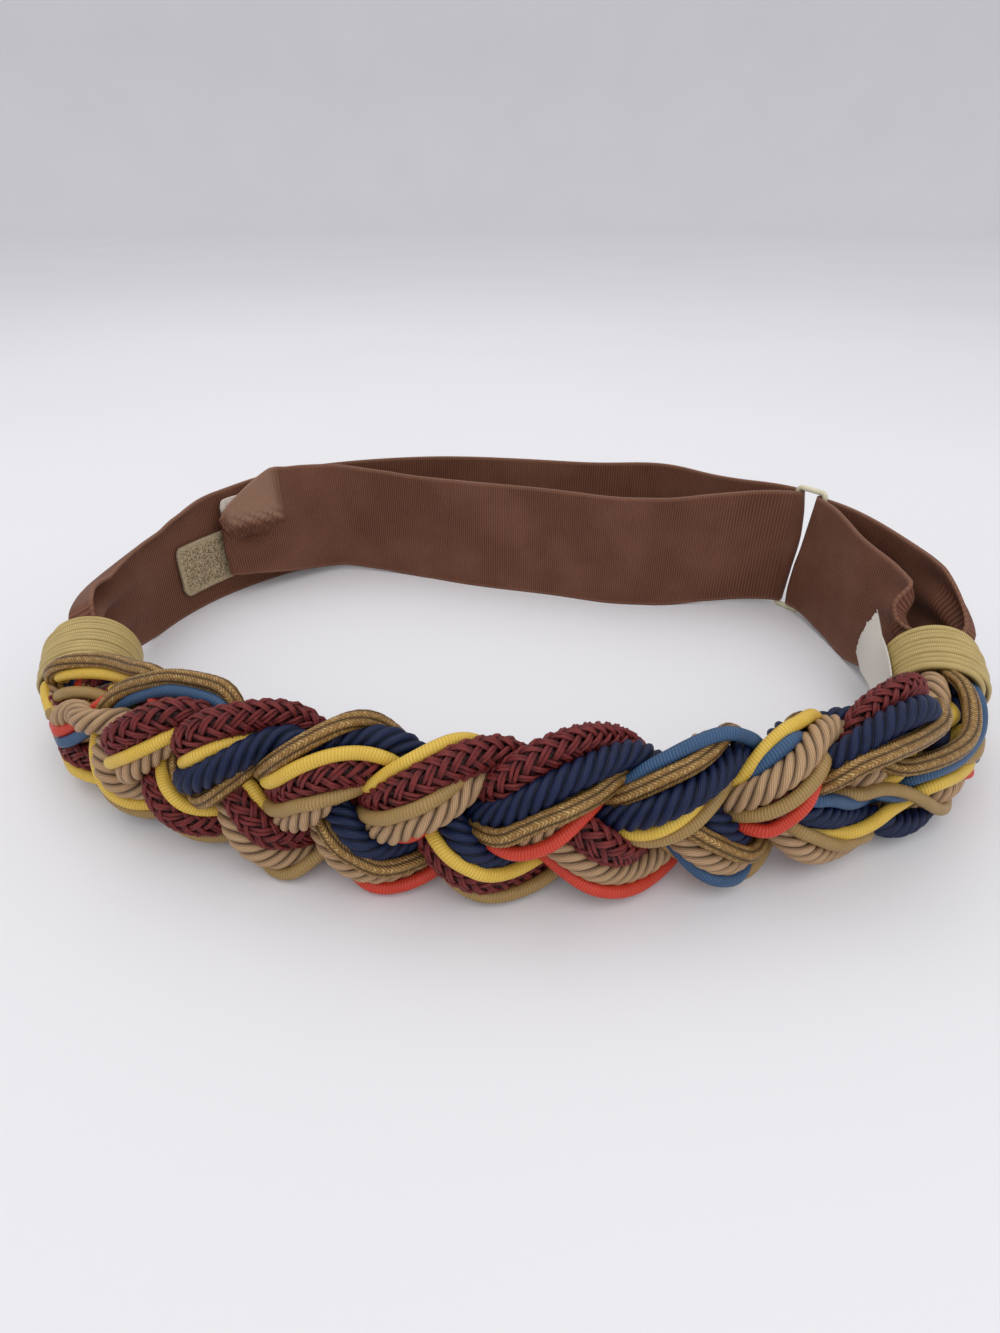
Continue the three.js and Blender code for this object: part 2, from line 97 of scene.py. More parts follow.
# The belt line seen from above, from the left binding past the front, as shares of half the width and depth.
belt = {
    "width": 270,
    "depth": 200,
    "seatGap": 0.3,
    "rows": [
        ("left binding", -0.919, -0.33),
        ("left corner", -0.867, -0.5),
        ("front left", -0.74, -0.67),
        ("front left", -0.533, -0.81),
        ("front left", -0.281, -0.91),
        ("front", 0, -0.97),
        ("front right", 0.281, -0.94),
        ("front right", 0.519, -0.88),
        ("front right", 0.719, -0.79),
        ("right corner", 0.867, -0.64),
        ("right binding", 0.963, -0.37),
        ("right side", 1, -0.1),
        ("right side", 0.978, 0.13),
        ("right side", 0.933, 0.3),
        ("ring", 0.859, 0.45),
        ("back right", 0.741, 0.62),
        ("back right", 0.578, 0.77),
        ("back", 0.333, 0.9),
        ("back", 0.037, 0.98),
        ("back", -0.23, 1.01),
        ("back left", -0.474, 0.95),
        ("back left", -0.667, 0.82),
        ("left side", -0.793, 0.66),
        ("left side", -0.904, 0.43),
        ("left side", -0.97, 0.17),
        ("left side", -0.978, -0.08),
    ],
    "stepsPerRow": 40,
}


# A closed curve through points, with this many steps from each to the next.
def closedCurve(points, steps):
    around = [np.roll(points, shift, 0) for shift in (1, 0, -1, -2)]
    gaps = [np.sqrt(np.linalg.norm(b - a, axis=1))[:, None] for a, b in zip(around, around[1:])]
    slopes = []
    for k in (0, 1):
        a, b, c = around[k : k + 3]
        slope = (b - a) / gaps[k] - (c - a) / (gaps[k] + gaps[k + 1]) + (c - b) / gaps[k + 1]
        slopes.append((slope * gaps[1])[:, None])
    t = (np.arange(steps) / steps)[None, :, None]
    curve = cubic(points[:, None], around[2][:, None], *slopes, t)
    return np.concatenate([curve.reshape(-1, 2), points[:1]])


beltCorners = np.array([(x * belt["width"] / 2, y * belt["depth"] / 2) for _, x, y in belt["rows"]])
beltPoints = closedCurve(beltCorners, belt["stepsPerRow"])
beltLengths = np.concatenate([[0], np.cumsum(np.linalg.norm(np.diff(beltPoints, axis=0), axis=1))])
beltTotal = beltLengths[-1]
beltAlong = np.roll(beltPoints[:-1], -1, 0) - np.roll(beltPoints[:-1], 1, 0)
beltAlong = np.concatenate([beltAlong, beltAlong[:1]])
beltAlong /= np.linalg.norm(beltAlong, axis=1)[:, None]


def stationOf(place):
    names = [row[0] for row in belt["rows"]]
    return beltLengths[names.index(place) * belt["stepsPerRow"]]


# The direction along the belt line, and the direction outwards from it.
def beltWays(station):
    place = np.mod(station, beltTotal)
    along = np.stack([np.interp(place, beltLengths, beltAlong[:, k]) for k in (0, 1)] + [place * 0], -1)
    along /= np.linalg.norm(along, axis=-1)[..., None]
    outward = np.stack([along[..., 1], -along[..., 0], place * 0], -1)
    return along, outward


def onBelt(station, out, height):
    station, out, height = np.broadcast_arrays(np.asarray(station, float), out, height)
    place = np.mod(station, beltTotal)
    middle = np.stack([np.interp(place, beltLengths, beltPoints[:, k]) for k in (0, 1)] + [height], -1)
    return middle + beltWays(station)[1] * out[..., None]


leftBinding = 0.0
rightBinding = stationOf("right binding")
ringStation = stationOf("ring")

ringWire = {"diameter": 2, "opening": 9, "endGap": 0.5, "corner": 1.6, "sides": 20, "cornerSteps": 8}
ringHalf = (ringWire["opening"] + ringWire["diameter"]) / 2
barStation = {"long": ringStation + ringHalf, "short": ringStation - ringHalf}

# The frame's origin is under the middle of the belt, and the ring shows where the belt line lies in it.
ringBox = [np.array(corner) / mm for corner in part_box("ring")]
ringMiddle = (onBelt(barStation["long"], 0, 0) + onBelt(barStation["short"], 0, 0)) / 2
toFrame = np.array([*((ringBox[0] + ringBox[1]) / 2 - ringMiddle)[:2], 0])
print("belt line", round(beltTotal), "mm long, moved", toFrame.round(2))


def inMetres(points):
    return (points + toFrame) * mm


# Camera, at the photograph's angle. Its picture is 1000 by 1333 and its focal length 750 of those pixels.
camera = {"distance": 266, "elevation": 32, "focal": 750, "pictureHeight": 1333, "sensor": 36}
cameraTilt = math.radians(camera["elevation"])
cameraPlace = camera["distance"] * np.array([0, -math.cos(cameraTilt), math.sin(cameraTilt)])


def placeCamera():
    view = bpy.data.cameras.new("photo_view")
    view.sensor_width = camera["sensor"]
    view.lens = camera["focal"] * camera["sensor"] / camera["pictureHeight"]
    view.clip_start = 0.005
    holder = bpy.data.objects.new("photo_view", view)
    bpy.context.scene.collection.objects.link(holder)
    holder.location = Vector(inMetres(cameraPlace))
    holder.rotation_euler = (math.pi / 2 - cameraTilt, 0, 0)
    bpy.context.scene.camera = holder


placeCamera()


# Adds a node with its settings, its input values and its links.
def addNode(tree, kind, values=None, links=None, **settings):
    node = tree.nodes.new(kind)
    for key, value in settings.items():
        setattr(node, key, value)
    for socket, value in (values or {}).items():
        node.inputs[socket].default_value = value
    for socket, source in (links or {}).items():
        tree.links.new(source, node.inputs[socket])
    return node


def colour(hexValue):
    channels = [int(hexValue[i : i + 2], 16) / 255 for i in (1, 3, 5)]
    linear = [c / 12.92 if c <= 0.04045 else ((c + 0.055) / 1.055) ** 2.4 for c in channels]
    return (*linear, 1)


# A wave texture's bands are this far apart at scale 1.
def bandScale(spacing):
    return math.pi / 10 / (spacing * mm)


# Loose fibres mirror less than solid plastic, so the cloths and cords have a low index.
def newMaterial(name, roughness, ior=1.36, metallic=0.0, sheen=0.0):
    material = bpy.data.materials.new(name)
    material.use_nodes = True
    shader = material.node_tree.nodes["Principled BSDF"]
    shader.inputs["Roughness"].default_value = roughness
    shader.inputs["IOR"].default_value = ior
    shader.inputs["Metallic"].default_value = metallic
    shader.inputs["Sheen Weight"].default_value = sheen
    shader.inputs["Sheen Roughness"].default_value = 0.4
    return material, material.node_tree, shader


# A piece's own map, and its distances across and along.
def ownMap(tree):
    return addNode(tree, "ShaderNodeUVMap", uv_map="UVMap").outputs["UV"]


def mapAxes(tree):
    return addNode(tree, "ShaderNodeSeparateXYZ", links={"Vector": ownMap(tree)}).outputs


# A thread pattern: bands across a piece's own map, turned by an angle.
def threadBands(tree, spacing, angle, distortion, detail):
    turned = addNode(tree, "ShaderNodeMapping", {"Rotation": (0, 0, angle)}, {"Vector": ownMap(tree)})
    values = {"Scale": bandScale(spacing), "Distortion": distortion, "Detail": detail, "Detail Scale": 1.5}
    links = {"Vector": turned.outputs["Vector"]}
    bands = addNode(tree, "ShaderNodeTexWave", values, links, wave_type="BANDS", bands_direction="Y")
    return bands.outputs["Fac"]


def colourNoise(tree, size, detail=3.0):
    values = {"Scale": 1 / (size * mm), "Detail": detail}
    links = {"Vector": addNode(tree, "ShaderNodeTexCoord").outputs["Object"]}
    return addNode(tree, "ShaderNodeTexNoise", values, links).outputs["Fac"]


# One step of arithmetic. Its terms are sockets or numbers.
def maths(tree, operation, *terms):
    values = {k: term for k, term in enumerate(terms) if isinstance(term, (int, float))}
    links = {k: term for k, term in enumerate(terms) if k not in values}
    return addNode(tree, "ShaderNodeMath", values, links, operation=operation).outputs["Value"]


def mapRange(tree, value, low, high, least=0.0, most=1.0):
    values = {"From Min": low, "From Max": high, "To Min": least, "To Max": most}
    return addNode(tree, "ShaderNodeMapRange", values, {"Value": value}).outputs["Result"]


# How high a point lies in the relief of its surface, from 0 to 1. Materials paint shade from it into low
# places, as painted shade; on the strap's tip it marks the bent corner, which is painted lighter as painted
# light.
def crestOf(tree):
    return addNode(tree, "ShaderNodeAttribute", attribute_name="crest").outputs["Fac"]


# Gives a material its colour and its fine relief.
def paint(tree, shader, body, height, strength, distance):
    values = {"Strength": strength, "Distance": distance * mm}
    relief = addNode(tree, "ShaderNodeBump", values, {"Height": height})
    tree.links.new(body, shader.inputs["Base Color"])
    tree.links.new(relief.outputs["Normal"], shader.inputs["Normal"])


def mixColours(tree, factor, low, high):
    node = addNode(tree, "ShaderNodeMix", data_type="RGBA")
    tree.links.new(factor, node.inputs["Factor"])
    for socket, value in ((6, low), (7, high)):
        if isinstance(value, str):
            node.inputs[socket].default_value = colour(value)
        else:
            tree.links.new(value, node.inputs[socket])
    return node.outputs[2]


# Spun cord: threads that catch the light, small uneven patches, and painted shade in the valleys where it has
# plies, in a dark colour.
def cordMaterial(name, main, light, spacing, angle, roughness, bump=0.08, dark=None):
    material, tree, shader = newMaterial(name, roughness)
    threads = threadBands(tree, spacing, angle, 0.6, 1)
    shade = mapRange(tree, colourNoise(tree, 5), 0.35, 0.7, most=0.5)
    body = mixColours(tree, shade, mixColours(tree, threads, main, light), main)
    # Painted shade: where the crest is low, the dark colour is painted in.
    if dark:
        body = mixColours(tree, crestOf(tree), dark, body)
    paint(tree, shader, body, threads, 0.7, bump)
    return material


# Cords of the braid. Rayon rope, satin rattail, openwork yarn braid and a braided metallic cord.
# Thread spacing is drawn two to three times the real one so that it shows in the picture.
cordKinds = {
    "bronze": {"radius": 2.3, "slot": "cord_tan"},
    "navy": {"radius": 3.5, "slot": "cord_navy", "rope": True},
    "beige": {"radius": 3.4, "slot": "cord_beige", "rope": True},
    "burgundy": {"radius": 3.7, "slot": "cord_burgundy"},
    "yellow": {"radius": 1.65, "slot": "cord_yellow"},
    "gold": {"radius": 1.65, "slot": "cord_gold"},
    "steel": {"radius": 1.65, "slot": "cord_steel_blue"},
    "red": {"radius": 1.65, "slot": "cord_red"},
}
ropeShape = {
    "plies": 5,
    "lay": 16,
    "plyShare": 0.41,
    "acrossPly": [-1, -0.8, -0.45, 0, 0.45, 0.8],
    "crestShare": 1.5,
    "step": 0.8,
}
yarnShape = {
    "carriers": 8,
    "ends": 2,
    "lay": 24,
    "yarn": 0.46,
    "wide": 4.2,
    "deep": 3.3,
    "swing": 0.5,
    "wander": 0.07,
    "wanderEvery": 4,
    "beside": 2.1,
    "core": 0.68,
    "step": 1.1,
    "sides": 5,
}
rattailShape = {"around": 14, "step": 1.2}
braidedShape = {
    "around": 36,
    "step": 1.1,
    "ridges": 6,
    "groove": 0.13,
    "grooveShape": 0.6,
    "ripple": 0.02,
    "rippleEvery": 2.6,
    "rippleTurns": 4,
}


# Braided metallic cord: flat glossy threads in a herringbone of two slants that change sides at each ridge.
def metallicCordMaterial():
    material, tree, shader = newMaterial("braided metallic cord", 0.38, metallic=0.3)
    ridge = 2 * math.pi * cordKinds["bronze"]["radius"] * mm / braidedShape["ridges"]
    slants = [threadBands(tree, 0.62, angle, 0.4, 1) for angle in (0.75, -0.75)]
    side = maths(tree, "PINGPONG", mapAxes(tree)["X"], ridge)
    other = maths(tree, "GREATER_THAN", side, ridge / 2)
    height = addNode(tree, "ShaderNodeMix", links={"Factor": other, 2: slants[0], 3: slants[1]}).outputs[0]
    # Painted glints: random bright specks on the slanted threads, as painted highlight.
    glint = mapRange(tree, colourNoise(tree, 0.9, 2), 0.45, 0.75, 0.15, 0.85)
    body = mixColours(tree, maths(tree, "MULTIPLY", height, glint), "#865F2C", "#E8CA8C")
    # Painted shade: the grooves between the ridges are painted dark from the crest.
    paint(tree, shader, mixColours(tree, crestOf(tree), "#3A260F", body), height, 0.6, 0.15)
    return material


cordMaterials = {"bronze": metallicCordMaterial()}
# The ropes and the openwork braid take a third, dark colour: painted shade for their valleys and gaps.
for kind, name, main, light, dark in (
    ("navy", "spun rayon rope navy", "#0A1430", "#142550", "#02040B"),
    ("beige", "spun rayon rope beige", "#9C7A58", "#C6A47E", "#33231A"),
):
    cordMaterials[kind] = cordMaterial(name, main, light, 0.6, 1.35, 0.5, dark=dark)
cordMaterials["burgundy"] = cordMaterial(
    "openwork braided yarn burgundy", "#681E21", "#9C4440", 0.6, 0.4, 0.42, dark="#23080A"
)
for kind, name, main, light in (
    ("yellow", "satin rattail yellow", "#CBA23A", "#E2C25A"),
    ("gold", "satin rattail gold", "#8F7142", "#AB8D58"),
    ("steel", "satin rattail steel blue", "#2B4563", "#436489"),
    ("red", "satin rattail coral red", "#B93222", "#D04A34"),
):
    cordMaterials[kind] = cordMaterial(name, main, light, 0.7, 0.15, 0.42)


# A sheet of points, as rows of a grid. A wrapped one closes on itself and its ends are filled.
# Crest is how high each point lies in the surface's own relief, for its colour: the materials paint shade into
# its low places, and on the strap's tip a low crest is painted lighter, as painted light.
def addGrid(bm, points, crest=None, wrap=False):
    rows, columns = points.shape[:2]
    crest = np.ones((rows, columns)) if crest is None else crest
    if wrap:
        points = np.concatenate([points, points[:, :1]], 1)
        crest = np.concatenate([crest, crest[:, :1]], 1)
        columns += 1
    grid = bmesh.ops.create_grid(
        bm, x_segments=columns - 1, y_segments=rows - 1, size=0.5, calc_uvs=True
    )["verts"]
    crestLayer = bm.verts.layers.float["crest"]
    for vert, point, value in zip(grid, inMetres(points).reshape(-1, 3), crest.ravel()):
        vert.co = point
        vert[crestLayer] = value
    if wrap:
        seam = grid[::columns] + grid[columns - 1 :: columns]
        ends = [edge for row in (grid[:columns], grid[-columns:]) for vert in row for edge in vert.link_edges]
        ends = {edge for edge in ends if edge.is_boundary}
        bmesh.ops.remove_doubles(bm, verts=seam, dist=1e-7)
        bmesh.ops.holes_fill(bm, edges=[edge for edge in ends if edge.is_valid and edge.is_boundary], sides=0)
    return grid


# Makes an object of a finished bmesh, with its map in metres.
def addPiece(name, bm, material, nodes, mapSize=(1, 1)):
    mesh = bpy.data.meshes.new(name)
    bm.to_mesh(mesh)
    bm.free()
    for layer in mesh.uv_layers:
        places = np.empty(len(layer.data) * 2)
        layer.data.foreach_get("uv", places)
        places = (places.reshape(-1, 2) * np.array(mapSize) * mm).ravel()
        layer.data.foreach_set("uv", places)
    mesh.shade_smooth()
    mesh.materials.append(material)
    piece = bpy.data.objects.new(name, mesh)
    bpy.context.scene.collection.objects.link(piece)
    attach(piece, "root")
    if nodes:
        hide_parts(*nodes)
    return piece


def newGridMesh():
    bm = bmesh.new()
    bm.loops.layers.uv.new("UVMap")
    bm.verts.layers.float.new("crest")
    return bm


# The braid. Three strands of eight cords swing up and down and, twice as fast, out and in.
braid = {
    "height": 44,
    "thickness": 24,
    "endRun": 30,
    "swingUp": 0.5,
    "swingOut": 0.43,
    "gatheredSwing": 0.46,
    "turnsAt": [0, 0.065, 0.145, 0.218, 0.298, 0.391, 0.475, 0.578, 0.678, 0.76, 1],
    "turns": [-0.75, 0, 1, 2, 3, 4, 5, 6, 7, 8, 8.75],
    "spacing": 2.0,
    "faceHeight": 20,
    "faceOut": 2.6,
    "faceTilt": 0.25,
    "smallOut": 3.4,
    "backHeight": 13,
    "backOut": -3.6,
    "backDrop": 4,
    "backReach": 3,
    "backTop": 6.5,
    "holdsFor": 0.4,
    "gatheredCord": 0.84,
    "outerRun": 45,
    "hiddenReach": 4.5,
    "hiddenFrom": {"left": 18, "right": 30},
    "hiddenRun": {"left": 30, "right": 40},
    "crossing": 0.62,
    "holdIn": 4,
    "holdOut": 8,
}
# How the cords settle against each other: shares of a push or a pull in one round, and lengths.
settle = {
    "rounds": 150,
    "quickShare": 4,
    "reach": 4,
    "firstSize": 0.5,
    "growth": 0.8,
    "push": 0.45,
    "heldPush": 0.3,
    "firstPull": 0.1,
    "lastPull": 0.015,
    "heldPull": 0.22,
    "stiffness": 0.5,
    "strandsApart": 1.3,
    "sideways": 1.6,
    "aboveFloor": 0.2,
    "aboveTop": 1,
    "mouthInset": 0.6,
    "pastFace": 1.5,
    "pastMouth": 40,
    "heldPast": 5,
}
binding = {
    "length": 22,
    "lift": 5,
    "gather": 11.2,
    "endSpace": 1.5,
    "cord": 2.4,
    "turns": {"left": 12, "right": 9},
    "lean": 4.5,
    "taper": 1.2,
    "tuck": 2.2,
    "tuckRise": 5,
    "wobble": 0.12,
    "wobbleTurn": 2.3,
    "overlap": 1.06,
    "step": 1.3,
    "stepsPerTurn": 40,
    "faceWidth": 1.4,
}
bindingRadius = binding["gather"] + belt["seatGap"] + binding["cord"]
bindingHeight = binding["lift"] + bindingRadius
endInside = binding["length"] / 2 - binding["endSpace"]
braidStart = leftBinding + binding["length"] / 2
braidLength = rightBinding - binding["length"] / 2 - braidStart

# The cords that show on the front of each strand, top to bottom, at the turns where it crosses the front.
strands = {
    "blue": [
        (0.375, "bronze yellow burgundy gold beige"),
        (1.875, "bronze yellow burgundy gold"),
        (3.375, "bronze navy yellow burgundy gold beige"),
        (4.875, "navy yellow burgundy gold"),
        (6.375, "steel bronze navy yellow gold"),
        (7.875, "steel navy yellow gold beige"),
    ],
    "gold": [
        (-0.3, "red bronze steel burgundy yellow beige"),
        (1.375, "bronze steel burgundy yellow beige"),
        (2.875, "yellow burgundy beige gold"),
        (4.375, "steel yellow burgundy gold beige red"),
        (5.875, "burgundy beige red"),
        (7.375, "yellow steel beige gold red"),
        (8.7, "navy beige gold"),
    ],
    "red": [
        (0.875, "steel beige yellow gold"),
        (2.375, "burgundy yellow navy bronze"),
        (3.875, "navy bronze beige red"),
        (5.375, "burgundy navy bronze beige red"),
        (6.875, "navy bronze beige steel gold"),
        (8.375, "burgundy navy bronze gold"),
    ],
}
# The ways of cords, as strand and kind, near the bindings: distance from the mouth, out and height.
endWays = {
    "left": {
        "blue bronze": [
            (-6, 7, 20), (1, 9, 24), (4, 8, 29.5), (6.5, 5, 33.5), (9, 1.2, 34.5), (13, -3, 35),
            (20, -6.8, 35.8), (30, -8, 37), (40, -7.8, 38.2), (48, -6.5, 37), (56, -4, 34),
        ],
        "blue yellow": [
            (-2, 6, 22), (4, 6, 27.5), (8, 4.5, 30.5), (12, 0, 31.8), (20, -5, 32.8), (32, -8.5, 33.4),
            (40, -9, 33),
        ],
        "blue burgundy": [
            (0, 3, 16), (6, 3, 20), (10, 1.5, 23.5), (16, -2.8, 25), (24, -6.5, 25.5), (34, -8, 26),
            (44, -8.5, 28),
        ],
        "blue navy": [(0, -2, 14), (14, -3, 15), (24, -5, 18), (34, -7, 22), (46, -8, 28)],
        "blue gold": [
            (0, 8, 20), (8, 8.5, 24), (13, 4.8, 28), (18, 0.8, 28.8), (26, -3, 28), (36, -5, 27),
            (46, -6, 29),
        ],
        "blue steel": [(0, 2, 12), (14, 0, 13), (26, -3, 17), (36, -5, 21), (48, -8, 26)],
        "blue red": [(0, 3, 13), (14, 1, 14), (26, -2, 18), (36, -5, 23), (48, -8, 28)],
        "red steel": [(0, -4, 12), (14, -5, 14), (26, -6, 20), (38, -7, 15)],
        "blue beige": [(0, 7, 15), (8, 9, 18.2), (14, 7.5, 23), (20, 5.2, 25.8), (28, 3.4, 28)],
        "gold red": [
            (22, 5.5, 25), (26, 3.5, 27.8), (29, -1.5, 31), (32, -5.8, 34), (38, -7.4, 37.2),
            (46, -7.5, 39),
        ],
        "gold bronze": [
            (28, 4.8, 27), (32, -1.8, 33), (40, -5.8, 37), (52, -8.5, 39.8), (64, -8.8, 40.2),
            (72, -5.8, 40),
        ],
        "gold steel": [
            (26, 5.5, 24), (32, -0.6, 30), (40, -4, 34.2), (52, -6, 37.6), (64, -6, 38), (72, -4, 38),
        ],
    },
    "right": {
        "red bronze": [
            (0, -3, 15), (10, -3, 18), (22, -3, 23), (28, -3, 29), (31, -2.2, 34), (33, 1, 35.5),
            (36, 4.2, 35), (41, 6.2, 35.2), (48, 8.2, 35.8), (57, 10.5, 37), (66, 11.2, 35.5),
            (75, 10.5, 30.5),
        ],
        "red navy": [
            (0, -1, 16), (18, -1, 17), (26, 0, 20), (31, 1, 25), (36, 1.8, 31.5), (41, 2.8, 38),
            (47, 4.2, 41), (56, 5.2, 40.5), (65, 7.4, 36.8), (74, 8, 31.2),
        ],
        "red burgundy": [
            (0, -8, 16), (14, -8.5, 17), (22, -7.8, 21), (28, -6.5, 28), (33, -5, 34.5), (38, -4, 39),
            (46, -2.6, 40.8), (54, -1.8, 39), (62, 0.2, 35.8),
        ],
        "gold beige": [
            (-6, -4, 22), (2, -4.5, 25.5), (8, -3.4, 27.4), (14, -2, 25.5), (20, -1, 21.5), (28, 0, 18),
            (40, 1, 16), (50, 1, 15),
        ],
        "gold bronze": [
            (-6, -1, 24), (2, -2, 28.6), (6, 2.2, 29.2), (12.5, 4.8, 28), (20, 7, 26), (27, 8.5, 25.6),
            (33, 8.8, 26), (39, 8.5, 26), (44, 7.5, 25.6), (54, 4, 22),
        ],
        "gold navy": [(60, -7, 31), (66, -7.5, 31.5), (72, -7, 31.5)],
        "red red": [(-4, 2, 12), (10, 3, 12), (24, 4, 12), (40, 4, 13), (52, 5, 16)],
        "red steel": [(-4, 4, 10), (12, 5, 10), (26, 6, 11), (42, 6, 14), (54, 5, 18)],
        "red beige": [(-4, -3, 10), (12, -3, 10), (26, -2, 13), (40, -1, 18), (52, -1, 22)],
        "blue steel": [
            (-4, 5, 22), (4, 6.8, 26.5), (9, 8.8, 24.2), (14, 9.5, 21), (22, 9.2, 21), (32, 9, 21.6),
            (44, 8.6, 22.8),
        ],
        "blue yellow": [
            (-4, 7, 15), (5, 9.6, 16), (12, 10.6, 16.2), (18, 10.4, 16.2), (30, 10, 17), (42, 9.8, 20),
        ],
        "blue navy": [(0, 2, 14), (15, 3, 11), (26, 5.5, 8), (34, 6.5, 6.5), (42, 7, 5.6), (52, 6, 8)],
        "blue beige": [(0, 4, 14), (12, 6, 11.5), (24, 7.4, 11), (32, 7.8, 11), (38, 7, 11.5)],
        "red gold": [
            (0, 0, 12), (14, 2, 8), (24, 7, 5), (32, 10.6, 7), (38, 10.4, 12), (44, 8.6, 17), (49, 7, 20),
            (58, 5, 22),
        ],
    },
}
strandNames = list(strands)
kindNames = list(cordKinds)
turnAt = curveThrough(braid["turnsAt"], braid["turns"])


# The strands' centres at stations, their half sizes and the height of the braid's middle.
def strandCentres(station):
    fromEnd = np.minimum(station - braidStart, braidStart + braidLength - station)
    spread = smooth(fromEnd / braid["endRun"])
    halfUp = mix(binding["gather"], braid["height"] / 2, spread)
    halfOut = mix(binding["gather"], braid["thickness"] / 2, spread)
    swingUp = halfUp * mix(braid["gatheredSwing"], braid["swingUp"], spread)
    swingOut = halfOut * mix(braid["gatheredSwing"], braid["swingOut"], spread)
    turn = turnAt((station - braidStart) / braidLength)
    angles = np.stack([(turn - order) * 2 * math.pi / 3 for order in range(3)])
    centres = np.stack([swingOut * np.sin(2 * angles), swingUp * np.sin(angles)], -1)
    middle = mix(bindingHeight, braid["height"] / 2, spread)
    return centres, angles, (halfOut - swingOut, halfUp - swingUp), middle, spread


# Where a strand's cords want to lie in its section, as offsets out and up: the ones that show lie in one layer,
# top to bottom, and the others behind them.
def cordPlaces(shown):
    front = shown.split()
    back = [kind for kind in kindNames if kind not in front]
    places = {}
    widths = [2 * cordKinds[kind]["radius"] for kind in front]
    fit = min(1, braid["faceHeight"] / sum(widths))
    top = sum(widths) * fit / 2
    for kind, width in zip(front, widths):
        up = top - width * fit / 2
        proud = max(0, braid["smallOut"] - width / 2)
        places[kind] = (braid["faceOut"] + proud - braid["faceTilt"] * up, up)
        top -= width * fit
    widths = [2 * cordKinds[kind]["radius"] for kind in back]
    fit = braid["backHeight"] / sum(widths)
    top = braid["backHeight"] / 2 - braid["backDrop"]
    for kind, width in zip(back, widths):
        places[kind] = (braid["backOut"], top - width * fit / 2)
        top -= width * fit
    return places


def cordTargets(station):
    centres, angles, radii, middle, spread = strandCentres(station)
    turn = turnAt((station - braidStart) / braidLength)
    full = ((1 - braid["swingOut"]) * braid["thickness"] / 2, (1 - braid["swingUp"]) * braid["height"] / 2)
    targets = []
    shows = []
    for order, name in enumerate(strandNames):
        rows = [(at + side * braid["holdsFor"], shown) for at, shown in strands[name] for side in (-1, 1)]
        at = [row[0] for row in rows]
        layers = [cordPlaces(shown) for _, shown in rows]
        squeeze = mix(braid["crossing"], 1, np.abs(np.sin(2 * angles[order])))
        for kind in kindNames:
            offsets = [curveThrough(at, [places[kind][k] for places in layers])(turn) for k in (0, 1)]
            out = centres[order, :, 0] + offsets[0] * radii[0] / full[0]
            up = centres[order, :, 1] + offsets[1] * squeeze * radii[1] / full[1]
            targets.append(np.stack([out, middle + up], -1))
            shows.append(curveThrough(at, [kind in shown for _, shown in rows])(turn))
    return np.array(targets), np.array(shows)


# Turns the targets to the ways given at the ends, and says how firmly they hold.
def holdEnds(station, targets):
    held = np.zeros(targets.shape[:2])
    for side, fromMouth in (("left", station - braidStart), ("right", braidStart + braidLength - station)):
        for cord, rows in endWays[side].items():
            strand, kind = cord.split()
            number = strandNames.index(strand) * len(kindNames) + kindNames.index(kind)
            at = [row[0] for row in rows]
            way = np.stack([curveThrough(at, [row[k] for row in rows])(fromMouth) for k in (1, 2)], -1)
            hold = smooth((fromMouth - at[0]) / braid["holdIn"] + 1)
            hold = hold * smooth((at[-1] - fromMouth) / braid["holdOut"] + 0.5)
            targets[number] = mix(targets[number], way, hold[:, None])
            held[number] = np.maximum(held[number], hold)
    return targets, held


# How far the cords may reach in two directions of their section, towards the camera and square to that: the
# way, where it counts from, the limit and how firm it is. Cords that don't show stay low.
def settleLimits(station, centres, middle, shows, held, strandOf):
    seen = cameraPlace - onBelt(station, 0, middle)
    seen = np.stack([(seen * beltWays(station)[1]).sum(-1), seen[:, 2]], -1)
    seen /= np.linalg.norm(seen, axis=-1)[:, None]
    above = np.stack([-seen[:, 1], seen[:, 0]], -1)
    shares = []
    for side, fromMouth in (("left", station - braidStart), ("right", braidStart + braidLength - station)):
        shares.append(smooth((fromMouth - braid["hiddenFrom"][side]) / braid["hiddenRun"][side]))
    line = np.stack([middle * 0, middle], -1)
    strandLine = centres[strandOf] + line
    free = np.maximum(shows, held)
    return line, [
        (seen, line, mix(braid["hiddenReach"], braid["height"], np.minimum(*shares)), 1 - held),
        (seen, strandLine, mix(braid["backReach"], braid["height"], free), 1),
        (above, strandLine, mix(braid["backTop"], braid["height"], free), 1),
    ]


# The nearest place of each cord to each other cord, as a gap in the section and a shift along it.
def nearestGaps(place):
    best = np.full((len(place), *place.shape[:2]), np.inf)
    gap = np.zeros((*best.shape, 2))
    shift = np.zeros(best.shape)
    for offset in range(-settle["reach"], settle["reach"] + 1):
        other = place[:, np.clip(np.arange(place.shape[1]) + offset, 0, place.shape[1] - 1)]
        away = place[:, None] - other[None]
        square = (away**2).sum(-1) + (offset * braid["spacing"]) ** 2
        nearer = square < best
        best = np.where(nearer, square, best)
        gap = np.where(nearer[..., None], away, gap)
        shift = np.where(nearer, offset * braid["spacing"], shift)
    return best, gap, shift


